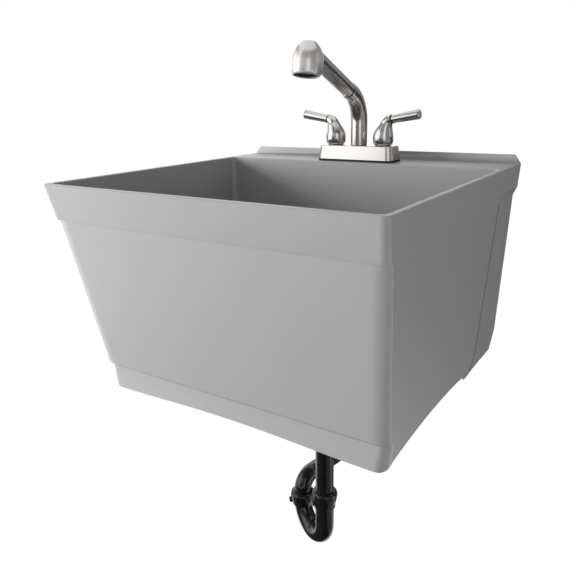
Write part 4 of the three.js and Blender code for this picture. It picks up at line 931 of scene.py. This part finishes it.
@dataclass
class Faucet:
    """The centreset base with its handles, spout and pull-out spray."""

    reach: float = 67.0
    valve_spacing: float = 101.6
    base_length: float = 159.0
    base_depth: float = 51.0
    base_foot: float = 3.2
    base_height: float = 26.2
    base_radius: float = 12.5
    base_draft: float = math.radians(6)
    base_shell: float = 3.0
    base_top_round: float = 1.6
    base_foot_round: float = 0.4
    base_top_rows: tuple[float, float] = (6.0, 12.0)
    base_corner_shrink: float = 0.2
    neck_rise: float = 2.5
    stem_radius: float = 5.0
    stem_rise: float = 16.0
    bell_foot_radius: float = 14.8
    bell_radius: float = 19.1
    bell_height: float = 38.8
    bell_socket_radius: float = 12.6
    bell_socket_depth: float = 6.0
    neck_foot_radius: float = 12.6
    neck_end_radius: float = 9.1
    neck_pivot_reach: float = 17.6
    neck_pivot_gap: float = 0.7
    neck_edge: float = 0.8
    lever_pitch: float = math.radians(10)
    collar_radius: float = 8.6
    collar_length: float = 1.6
    lever_length: float = 50.3
    lever_root_radius: float = 7.8
    lever_end_radius: float = 9.1
    tip_length: float = 5.0
    tip_face_radius: float = 6.2
    spout_radius: float = 15.6
    spout_wall: float = 3.0
    spout_straight: float = 42.8
    spout_stride: float = 2.0
    spout_bend_radius: float = 60.5
    wand_pitch: float = math.radians(23.3)
    spout_mouth: float = 10.0
    wand_radius: float = 14.2
    wand_length: float = 154.0
    wand_end_setback: float = 12.0
    seal_thickness: float = 1.4
    key_width: float = 5.0
    key_height: float = 2.2
    key_length: float = 7.0
    key_edge: float = 0.5
    key_sunk: float = 2.0
    head_height: float = 52.5
    head_radius: float = 26.8
    head_mouth_radius: float = 22.3
    head_crown_radius: float = 13.4
    head_tilt: float = math.radians(11.5)
    head_below_wand: float = 40.0
    mouth_recess: float = 9.0
    mouth_wall: float = 2.0
    nozzle_ring_width: float = 3.0
    nozzle_setback: float = 2.0
    nozzle_face_setback: float = 3.5
    jet_radius: float = 0.75
    jet_height: float = 0.9
    jet_rings: tuple[tuple[float, int], ...] = ((5.0, 6), (9.0, 12), (13.0, 18))
    face_rows: int = 60
    button_radius: float = 9.8
    button_thickness: float = 6.0
    button_travel: float = 2.5
    button_rise: float = 1.0
    well_floor: float = 4.0
    bezel_width: float = 1.2
    bezel_rise: float = 0.5
    slit: float = 0.05
    segments: int = 96

    @property
    def home(self) -> Place:
        """The faucet's own origin, on the deck."""
        return Place(vector(0, -self.reach, RIM_Z))

    @property
    def base_top(self) -> float:
        """Height of the base plate's top over the deck."""
        return self.base_foot + self.base_height

    # ---- base

    def base_plate(self) -> Skin:
        """The base plate: rounded rectangles that lean in, with a soft top edge and a hollow.

        Returns:
            The skin about the faucet's origin.
        """
        lean = math.tan(self.base_draft)
        q = np.linspace(0.0, math.pi / 2, 7)
        soft, foot, shell = self.base_top_round, self.base_foot, self.base_shell
        rim_inset, rim_height = soft * (1 - np.cos(q)), self.base_top - soft * (1 - np.sin(q))
        ceiling = self.base_top - shell
        top = self.base_height * lean
        middle = self.base_depth / 2 - self.slit
        under = [ceiling, ceiling, foot, foot, foot + 0.5]
        heights = np.concatenate([under, rim_height, [self.base_top] * 3])
        under_insets = [middle, shell + top, shell, self.base_foot_round, self.slit]
        side_insets = rim_inset + (rim_height - foot) * lean
        over_insets = [*(top + row for row in self.base_top_rows), middle]
        insets = np.concatenate([under_insets, side_insets, over_insets])
        half = self.base_length / 2 - insets
        depth = self.base_depth / 2 - insets
        radius = np.minimum(self.base_radius - insets * self.base_corner_shrink, depth - 0.01)
        radius = np.clip(radius, 0.01, None)
        return self.capped(rounded_box(half, depth, radius, heights))

    @staticmethod
    def capped(grid: Array) -> Skin:
        """Closes the first and last rows, which are slots, across their width.

        Each row's points are matched front to back, and the strip between the halves closes it.

        Args:
            grid: Level rows of points, as rounded_box gives them.

        Returns:
            The closed skin.
        """
        columns = grid.shape[1]
        skin = skin_of(grid)
        i = np.arange(columns // 2 - 1)
        mirror = columns - 1 - i
        low = np.stack([i, mirror, mirror - 1, i + 1], -1)
        high = low[:, ::-1] + (grid.shape[0] - 1) * columns
        return Skin(skin.points, np.vstack([skin.quads, low, high]))

    # ---- handles

    def bell(self) -> Skin:
        """The handle's bell, which swells over the valve and bends into the lever's neck.

        Every station is a circle with a centre (x, z), a radius and a tilt about Y. A point at the
        angle a lies at the centre plus radius times (cos a cos tilt, sin a, -cos a sin tilt).

        Returns:
            The skin, which stands on the base plate.
        """
        belly = self.bell_radius
        swell, waist = belly - self.bell_foot_radius, belly - self.neck_foot_radius
        lean = self.neck_pivot_reach - self.neck_pivot_gap - self.neck_foot_radius
        rise = self.bell_height - GAP
        shares = [
            (0.0, 0.0, self.bell_foot_radius),
            (0.0, 0.06, self.bell_foot_radius + swell * 0.55),
            (0.0, 0.16, belly - swell * 0.12),
            (0.0, 0.26, belly),
            (0.0, 0.42, belly),
            (0.01, 0.52, belly - swell * 0.10),
            (0.14, 0.66, belly - waist * 0.27),
            (0.45, 0.84, belly - waist * 0.64),
        ]
        stations = [(lean * x, GAP + rise * z, r, 0.0) for x, z, r in shares]
        share = np.linspace(0.0, 1.0, 8)
        tilt = (math.pi / 2 - self.lever_pitch) * share
        radius = self.neck_foot_radius + (self.neck_end_radius - self.neck_foot_radius) * np.sqrt(share)
        reach = radius + self.neck_pivot_gap
        x = self.neck_pivot_reach - reach * np.cos(tilt)
        z = self.bell_height + reach * np.sin(tilt)
        outer = eased(stations + list(zip(x, z, radius, tilt)), 5)
        x, z, radius, tilt = outer[-1]
        face = [[x, z, radius - self.neck_edge, tilt], [x, z, 0.0, tilt]]
        outer[-1, :2] -= self.neck_edge * np.array([math.sin(tilt), math.cos(tilt)]) * 0.9
        well = self.neck_rise + self.bell_socket_depth
        top = self.neck_rise + self.stem_rise + GAP
        stem, socket = self.stem_radius + GAP, self.bell_socket_radius
        inner = [[0, top, 0, 0], [0, top, stem, 0], [0, well, stem, 0], [0, well, socket, 0]]
        rows = np.vstack([inner, [[0, GAP, socket, 0]], outer, face])
        angle = np.linspace(0.0, TURN, self.segments, endpoint=False)[None, :]
        x, z, radius, tilt = (rows[:, k : k + 1] for k in range(4))
        out = radius * np.cos(angle)
        return skin_of(
            np.stack([x + out * np.cos(tilt), radius * np.sin(angle), z - out * np.sin(tilt)], -1)
        )

    def lever_parts(self) -> dict[str, Skin]:
        """The collar, sleeve and tip of a lever by name, along Z from the neck's face.

        Returns:
            The three skins.
        """
        foot = self.collar_length + 2 * GAP
        top = foot + self.lever_length
        tip, end = top + GAP, top + GAP + self.tip_length
        collar, sleeve = self.collar_radius, (self.lever_root_radius, self.lever_end_radius)
        profiles = {
            "collar": rod(GAP, GAP + self.collar_length, (collar, collar), (0.4, 0.4)),
            "sleeve": rod(foot, top, sleeve, (0.9, 0.5)),
            "tip": [
                (tip, 0.0, 0.0),
                (tip, self.lever_end_radius, 0.4),
                (tip + self.tip_length * 0.35, self.lever_end_radius - 0.1, 0.8),
                (end, self.tip_face_radius, 1.6),
                (end, 0.0, 0.0),
            ],
        }
        return {name: lathed(profile, self.segments // 2) for name, profile in profiles.items()}

    def handle(self, side: str, x: float, turn: float) -> None:
        """Makes one handle with its lever.

        Args:
            side: "hot" or "cold".
            x: The valve's place along X.
            turn: The lever's direction, in radians from +X.
        """
        body = f"{side}_handle"
        seat = Place(vector(x, 0, self.base_top), turned_about("z", turn)).then(self.home)
        piece(f"{side}_bell", self.bell().moved(seat), BRUSHED_NICKEL_Z, body, f"{side}_handle_bell")
        reach, pitch = self.neck_end_radius + self.neck_pivot_gap, self.lever_pitch
        root = vector(
            self.neck_pivot_reach - reach * math.sin(pitch), 0, self.bell_height + reach * math.cos(pitch)
        )
        along = Place(root, turned_about("y", math.pi / 2 - pitch)).then(seat)
        for part, skin in self.lever_parts().items():
            finish = MATT_BLACK_ACETAL if part == "collar" else BRUSHED_NICKEL_X
            piece(f"{side}_{part}", skin.moved(along), finish, body, f"{side}_lever_{part}")

    # ---- spout and wand

    @property
    def spout_path(self) -> Path:
        """The line of the spout, from the base plate up and over to its mouth.

        Returns:
            The path.
        """
        foot = self.home.of(vector(0, 0, self.base_top + GAP))
        bend = math.pi / 2 - self.wand_pitch
        return Path(foot, UP, vector(0, -1, 0), self.spout_straight - GAP, self.spout_bend_radius, bend)

    @property
    def mouth_at(self) -> float:
        """The distance along the spout to its mouth."""
        path = self.spout_path
        return path.lead + path.bend_radius * path.angle + self.spout_mouth

    def spout(self) -> Skin:
        """The spout: a tube with rounded ends carried over its bend."""
        radii = (self.spout_radius - self.spout_wall, self.spout_radius)
        return pipe(self.spout_path, self.mouth_at, radii, (0.8, 1.1), self.spout_stride, self.segments)

    @property
    def wand_place(self) -> Place:
        """The wand's frame: Z runs along it from the spout's mouth, Y points up and back."""
        mouth = self.spout_path.place_at(self.mouth_at)
        return Place(mouth, turned_about("x", math.pi / 2 - self.wand_pitch))

    @property
    def head_place(self) -> Place:
        """The spray head's frame: Z is its axis, from its mouth up to its crown.

        Returns:
            The frame.
        """
        turn = -(math.pi / 2 - self.wand_pitch) - self.head_tilt
        below = self.head_below_wand
        mouth = vector(0, below * math.sin(turn), self.wand_length - below * math.cos(turn))
        return Place(mouth, turned_about("x", turn)).then(self.wand_place)

    def wand(self) -> Skin:
        """The wand's tube behind its seal ring, with the key that keeps it from turning.

        The key is a block with softened upright edges whose foot lies inside the tube. The wand's
        frame has Z along the tube and -Y down, so the block is turned by a right angle.

        Returns:
            The skin in its place.
        """
        start, end = self.seal_thickness + 2 * GAP, self.wand_length - self.wand_end_setback
        radius, middle = self.wand_radius, self.key_width / 2 - self.slit
        tube = rod(start, end, (radius, radius), (1.1, 0.0))
        rise, soft = self.key_height, self.key_edge
        height = np.array([-self.key_sunk, -self.key_sunk, rise - soft, rise, rise])
        inset = np.array([middle, 0.0, 0.0, soft, middle])
        half, depth = self.key_width / 2 - inset, self.key_length / 2 - inset
        block = self.capped(rounded_box(half, depth, np.minimum(0.8, half - 0.01), height))
        spot = vector(0, -radius, start + self.key_length / 2)
        key = block.moved(Place(spot, turned_about("x", math.pi / 2)))
        return (lathed(tube, self.segments) + key).moved(self.wand_place)

    # ---- spray head

    def head_outline(self) -> Array:
        """The head's outline from its mouth to its crown, as (height, radius).

        Returns:
            The outline.
        """
        mouth, belly, crown = self.head_mouth_radius, self.head_radius, self.head_crown_radius
        shares = [
            (0.0, mouth), (0.05, mouth + 1.7), (0.2, belly - 0.9), (0.36, belly), (0.5, belly - 0.4),
            (0.66, belly - 1.8), (0.8, belly - 4.9), (0.93, crown + 3.4), (1.0, crown),
        ]  # fmt: skip
        return eased([(share * self.head_height, radius) for share, radius in shares], 5)

    def head_shell(self) -> Skin:
        """The head's shell, with the recess for the nozzle and the well for the button.

        Returns:
            The skin in the head's frame.
        """
        well = self.button_radius + self.bezel_width + GAP
        top = self.head_height
        floor = top - self.button_thickness - self.well_floor
        bore = self.head_mouth_radius - self.mouth_wall
        start = [(self.mouth_recess, 0.0), (self.mouth_recess, bore), (0.6, bore), (0.0, bore + 0.5)]
        end = [(top, well + 0.3), (top - 0.4, well), (floor, well), (floor, 0.0)]
        outline = self.head_outline()
        outline[0] += [0.0, -0.3]
        return skin_of(upright().carry(np.vstack([start, outline, end]), self.segments))

    def nozzle_ring(self) -> Skin:
        """The dark ring inside the head's mouth.

        Returns:
            The skin in the head's frame.
        """
        outer = self.head_mouth_radius - self.mouth_wall - GAP
        inner = outer - self.nozzle_ring_width
        top, foot = self.mouth_recess - GAP, self.nozzle_setback
        start = (top, inner, 0.0)
        profile = [start, (foot, inner, 0.5), (foot, outer, 0.7), (top, outer, 0.3), start]
        return lathed(profile, self.segments)

    def nozzle_face(self) -> Skin:
        """The spray face, with rings of small raised jets.

        The face's height is its base less a bell-shaped bump at each jet, exp(-(d/w)^4), where d
        is the distance to the nearest jet on its ring and w the jet's radius.

        Returns:
            The skin in the head's frame.
        """
        radius = self.head_mouth_radius - self.mouth_wall - self.nozzle_ring_width - 2 * GAP
        segments = 3 * self.segments
        across = np.linspace(0.0, radius, self.face_rows)[:, None]
        angle = np.linspace(0.0, TURN, segments, endpoint=False)
        x, y = across * np.cos(angle), across * np.sin(angle)
        bump = np.zeros((len(across), segments))
        for ring, count in self.jet_rings:
            nearest = np.round(angle * count / TURN) * TURN / count
            dx, dy = x - ring * np.cos(nearest), y - ring * np.sin(nearest)
            bump = bump + np.exp(-((dx**2 + dy**2) / self.jet_radius**2) ** 2)
        height = self.nozzle_face_setback - self.jet_height * np.clip(bump, 0.0, 1.0)
        top = self.mouth_recess - GAP
        rim = upright().carry(np.array([(top, radius), (top, 0.0)], float), segments)
        return skin_of(np.concatenate([np.stack([x, y, height], -1), rim]))

    def button_bezel(self) -> Skin:
        """The ring round the button in the crown.

        Returns:
            The skin in the head's frame.
        """
        outer, inner = self.button_radius + self.bezel_width, self.button_radius + GAP
        foot, top = self.head_height - self.button_thickness, self.head_height + self.bezel_rise
        start = (foot, inner, 0.0)
        profile = [start, (foot, outer, 0.2), (top, outer, 0.3), (top, inner, 0.2), start]
        return lathed(profile, self.segments)

    def button(self) -> Skin:
        """The button, slightly dished on top.

        Returns:
            The skin in the head's frame.
        """
        radius, top = self.button_radius, self.head_height + self.button_rise
        well = self.head_height - self.button_thickness - self.well_floor
        foot = well + self.button_travel + GAP
        profile = [
            (foot, 0.0, 0.0),
            (foot, radius, 0.4),
            (top, radius, 1.2),
            (top - 0.5, radius * 0.6, 3.0),
            (top - 0.7, 0.0, 0.0),
        ]
        return lathed(profile, self.segments)

    def build(self) -> None:
        """Makes all the pieces of the faucet."""
        base = self.base_plate().moved(self.home)
        piece("base_plate", base, BRUSHED_NICKEL_X, "fixture", "faucet_base_plate")
        self.handle("hot", -self.valve_spacing / 2, math.pi)
        self.handle("cold", self.valve_spacing / 2, 0.0)
        piece("spout_tube", self.spout(), BRUSHED_NICKEL_Z, "spout_arm", "spout")
        piece("wand_tube", self.wand(), BRUSHED_NICKEL_Y, "spray", "spray_wand")
        head = (
            ("head_shell", self.head_shell(), NICKEL_LACQUER, "spray", "spray_head_shell"),
            ("nozzle_ring", self.nozzle_ring(), MATT_BLACK_ACETAL, "spray", "spray_nozzle_ring"),
            ("nozzle_jets", self.nozzle_face(), MATT_BLACK_ACETAL, "spray", "spray_nozzle_face"),
            ("button_bezel", self.button_bezel(), MATT_BLACK_ACETAL, "spray", "spray_button_bezel"),
            ("button_cap", self.button(), BUTTON_LACQUER, "button", "spray_button"),
        )
        for name, skin, finish, body, node in head:
            piece(name, skin.moved(self.head_place), finish, body, node)


# ---- solids that stay


@dataclass
class HiddenHardware:
    """The solids whose shape stays as it is: for each finish, what their names hold."""

    name_parts: dict[Finish, tuple[str, ...]] = field(
        default_factory=lambda: {
            ZINC_PLATE: ("wall_bracket", "bracket_screw_", "_shank_washer"),
            STAINLESS_STEEL: ("drain_flange", "strainer_basket"),
            BLACK_RUBBER: ("drain_gasket", "_washer", "faucet_base_pad"),
            MATT_BLACK_ACETAL: ("drain_locknut", "strainer_knob", "spray_hose_spigot"),
            GLOSS_BLACK_ABS: ("drain_coupling_nut",),
            TURNED_BRASS: ("_valve_body", "_valve_stem", "spout_swivel_shank"),
            NATURAL_NYLON: ("_shank_nut", "spout_swivel_bush"),
        }
    )

    def dress(self, nodes: dict[str, bpy.types.Object]) -> None:
        """Gives each solid the first finish that fits its name.

        Args:
            nodes: The model's solids by name.
        """
        for name, node in nodes.items():
            match = [key for key, parts in self.name_parts.items() if any(part in name for part in parts)]
            if match:
                node.data.materials.clear()
                node.data.materials.append(match[0].material())
                LOG.info("%s keeps its solid: %s", name, match[0].name)


# ---- studio


@dataclass
class Studio:
    """The camera, the floor, the lamps and the cards that the metal mirrors."""

    picture_px: float = 576.0
    focal_px: float = 607.58
    camera_mm: tuple[float, float, float] = (547.94, -1156.6, 184.04)
    heading: float = -0.5838
    dip: float = 0.3053
    roll: float = -0.0194
    floor_z_mm: float = -852.0
    floor_reach: float = 12.0
    floor_glow: float = 1.066
    floor_shadow: float = 0.07
    floor_colour: str = "b4b4b4"
    key_watts: float = 135.0
    fill_watts: float = 13.0
    lamp_aim: tuple[float, float, float] = (0.0, -0.30, -0.08)
    ambient: float = 0.44
    card_steps: int = 24
    card_axis_y: float = -0.07
    card_over_floor: float = 0.004

    @staticmethod
    def staged(name: str, points: list, faces: list) -> tuple[bpy.types.Object, bpy.types.NodeTree]:
        """Puts up a mesh as part of the set.

        Args:
            name: The name of the object, its mesh and its material.
            points: Its points in metres.
            faces: Its faces, as lists of point numbers.

        Returns:
            The object and its material's tree.
        """
        mesh = bpy.data.meshes.new(name)
        mesh.from_pydata(points, [], faces)
        material = bpy.data.materials.new(name)
        mesh.materials.append(material)
        obj = linked(name, mesh)
        return obj, fresh_tree(material)

    @staticmethod
    def aim(obj: bpy.types.Object, axes: Array, place: Array) -> None:
        """Turns and places an object.

        Args:
            obj: The object.
            axes: Its axes, as columns.
            place: Its place in metres.
        """
        matrix = np.eye(4)
        matrix[:3, :3] = axes
        matrix[:3, 3] = place
        obj.matrix_world = Matrix(matrix.tolist())

    def camera(self) -> None:
        """The camera at the photograph's place: heading, dip and roll turn its axes."""
        az, el = self.heading, self.dip
        forward = vector(math.sin(az) * math.cos(el), math.cos(az) * math.cos(el), -math.sin(el))
        right = vector(math.cos(az), -math.sin(az), 0)
        up = np.cross(right, forward)
        c, s = math.cos(self.roll), math.sin(self.roll)
        data = bpy.data.cameras.new("camera")
        data.sensor_width = 36.0
        data.lens = data.sensor_width * self.focal_px / self.picture_px
        data.clip_end = 50.0
        obj = linked("camera", data)
        axes = np.stack([right * c + up * s, -right * s + up * c, -forward], 1)
        self.aim(obj, axes, np.array(self.camera_mm) * MM)
        bpy.context.scene.camera = obj

    def lamp(self, name: str, place: Array, side: float, watts: float) -> None:
        """A square area lamp that faces the sink and that no mirror shows.

        Args:
            name: Its name.
            place: Where it stands, in metres.
            side: The length of its side, in metres.
            watts: Its power.
        """
        data = bpy.data.lights.new(name, "AREA")
        data.shape = "RECTANGLE"
        data.size = data.size_y = side
        data.energy = watts
        obj = linked(name, data)
        back = place - np.array(self.lamp_aim)
        back = back / np.linalg.norm(back)
        across = np.cross(UP, back)
        across = across / np.linalg.norm(across)
        self.aim(obj, np.stack([across, np.cross(back, across), back], 1), place)
        obj.visible_glossy = False

    def world(self) -> None:
        """A white surround for the eye and for mirrors, and a plain ambient light for the rest."""
        world = bpy.data.worlds.new("surround")
        bpy.context.scene.world = world
        tree = fresh_tree(world)
        rays = add_node(tree, "ShaderNodeLightPath").outputs
        seen = rays["Is Camera Ray"]
        for ray in ("Is Glossy Ray", "Is Transmission Ray"):
            seen = add_node(tree, "ShaderNodeMath", {0: seen, 1: rays[ray]}, operation="MAXIMUM").outputs[0]
        ambient, shown = (
            add_node(tree, "ShaderNodeBackground", {"Color": WHITE, "Strength": strength}).outputs[0]
            for strength in (self.ambient, 1.0)
        )
        mixed = add_node(tree, "ShaderNodeMixShader", {0: seen, 1: ambient, 2: shown}).outputs[0]
        add_node(tree, "ShaderNodeOutputWorld", {"Surface": mixed})

    def floor(self) -> None:
        """A wide white floor that keeps a faint shadow."""
        z = self.floor_z_mm * MM
        corners = [(self.floor_reach * x, self.floor_reach * y, z) for x, y in SQUARE]
        tree = self.staged("floor", corners, [(0, 1, 2, 3)])[1]
        rays = add_node(tree, "ShaderNodeLightPath").outputs
        either = {0: rays["Is Camera Ray"], 1: rays["Is Glossy Ray"]}
        seen = add_node(tree, "ShaderNodeMath", either, operation="MAXIMUM").outputs[0]
        paint = add_node(tree, "ShaderNodeBsdfDiffuse", {"Color": linear(self.floor_colour)}).outputs[0]
        glow = add_node(tree, "ShaderNodeEmission", {"Strength": self.floor_glow}).outputs[0]
        share = 1.0 - self.floor_shadow
        faint = add_node(tree, "ShaderNodeMixShader", {0: share, 1: paint, 2: glow}).outputs[0]
        mixed = add_node(tree, "ShaderNodeMixShader", {0: seen, 1: paint, 2: faint}).outputs[0]
        add_node(tree, "ShaderNodeOutputMaterial", {"Surface": mixed})

    def card(self, name: str, start: float, end: float, outline: Outline, grey: float) -> None:
        """A card that only mirrors see, swept about an upright axis through the tub.

        Args:
            name: Its name.
            start: Its first edge, in degrees from the front towards the right.
            end: Its second edge.
            outline: Its outline as (distance from the axis, height), in metres.
            grey: How bright it looks.
        """
        steps = self.card_steps
        angle = np.radians(np.linspace(start, end, steps + 1))
        x, y, level = np.sin(angle), -np.cos(angle), np.ones_like(angle)
        rows = [np.stack([r * x, self.card_axis_y + r * y, z * level], -1) for r, z in outline]
        i, j = np.meshgrid(np.arange(len(rows) - 1), np.arange(steps), indexing="ij")
        first = (i * (steps + 1) + j).reshape(-1)
        faces = np.stack([first, first + 1, first + steps + 2, first + steps + 1], -1)
        obj, tree = self.staged(name, np.vstack(rows).tolist(), faces.tolist())
        glow = add_node(tree, "ShaderNodeEmission", {"Color": WHITE, "Strength": grey}).outputs[0]
        add_node(tree, "ShaderNodeOutputMaterial", {"Surface": glow})
        for ray in ("camera", "diffuse", "transmission", "volume_scatter", "shadow"):
            setattr(obj, f"visible_{ray}", False)

    def cards(self) -> None:
        """The bright panels and dark flags round the set that give metal its streaks."""
        floor = self.floor_z_mm * MM + self.card_over_floor
        wall: Outline = ((2.6, -0.6), (2.6, 1.6))
        hood: Outline = ((2.6, 1.6), (2.6, 3.1))
        low_wall: Outline = ((2.6, -0.1), (2.6, 0.19))
        high_wall: Outline = ((2.6, 0.2), (2.6, 1.6))
        near: Outline = ((0.12, floor), (1.5, floor))
        middle: Outline = ((0.5, floor), (1.7, floor))
        far: Outline = ((1.5, floor), (2.6, floor), (2.6, -0.1))
        table = (
            ("flag_left_rear", -172, -100, low_wall, 0.30),
            ("panel_left_rear", -150, -105, high_wall, 1.8),
            ("panel_rear", 190, 210, high_wall, 1.3),
            ("grey_wall_rear", 112, 190, high_wall, 0.30),
            ("grey_left", -100, -76, wall, 0.48),
            ("panel_left", -76, -22, wall, 1.9),
            ("flag_front", -22, 11, ((2.6, -0.6), (2.6, 0.1)), 0.09),
            ("grey_front", -22, 11, ((2.6, 0.1), (2.6, 1.6)), 0.60),
            ("grey_centre", 11, 25, wall, 0.32),
            ("panel_right", 25, 51, wall, 1.25),
            ("grey_right", 51, 104, wall, 0.30),
            ("flag_right", 104, 140, low_wall, 0.08),
            ("grey_rear", 140, 188, low_wall, 0.22),
            ("hood_left", -110, -42, hood, 0.10),
            ("hood_right", -18, 110, hood, 0.10),
            ("hood_rear", 110, 190, hood, 0.22),
            ("ground_front", -60, 40, near, 0.02),
            ("ground_right", 40, 90, near, 0.35),
            ("ground_glint", 90, 112, middle, 2.2),
            ("ground_grey", 112, 147, near, 0.30),
            ("ground_far", 112, 147, far, 0.05),
            ("ground_rear", 147, 200, near, 0.04),
            ("ground_far_rear", 147, 200, far, 0.04),
        )
        for name, start, end, outline, grey in table:
            self.card(name, start, end, outline, grey)

    def build(self) -> None:
        """Sets up the studio: a broad low key from the left and a weak fill from the right."""
        bpy.context.scene.view_settings.view_transform = "Standard"
        self.camera()
        self.world()
        self.floor()
        self.lamp("key", vector(-2.34, -1.65, 0.24), 1.5, self.key_watts)
        self.lamp("fill", vector(2.45, -1.44, -0.15), 1.0, self.fill_watts)
        self.cards()


def main() -> None:
    """Loads the model, dresses it and sets up the studio."""
    logging.basicConfig(level=logging.INFO, format="%(message)s")
    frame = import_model()
    nodes = frame["nodes"]
    Tub().build(nodes)
    Trap().build()
    Faucet().build()
    HiddenHardware().dress(nodes)
    Studio().build()


if __name__ == "__main__":
    main()
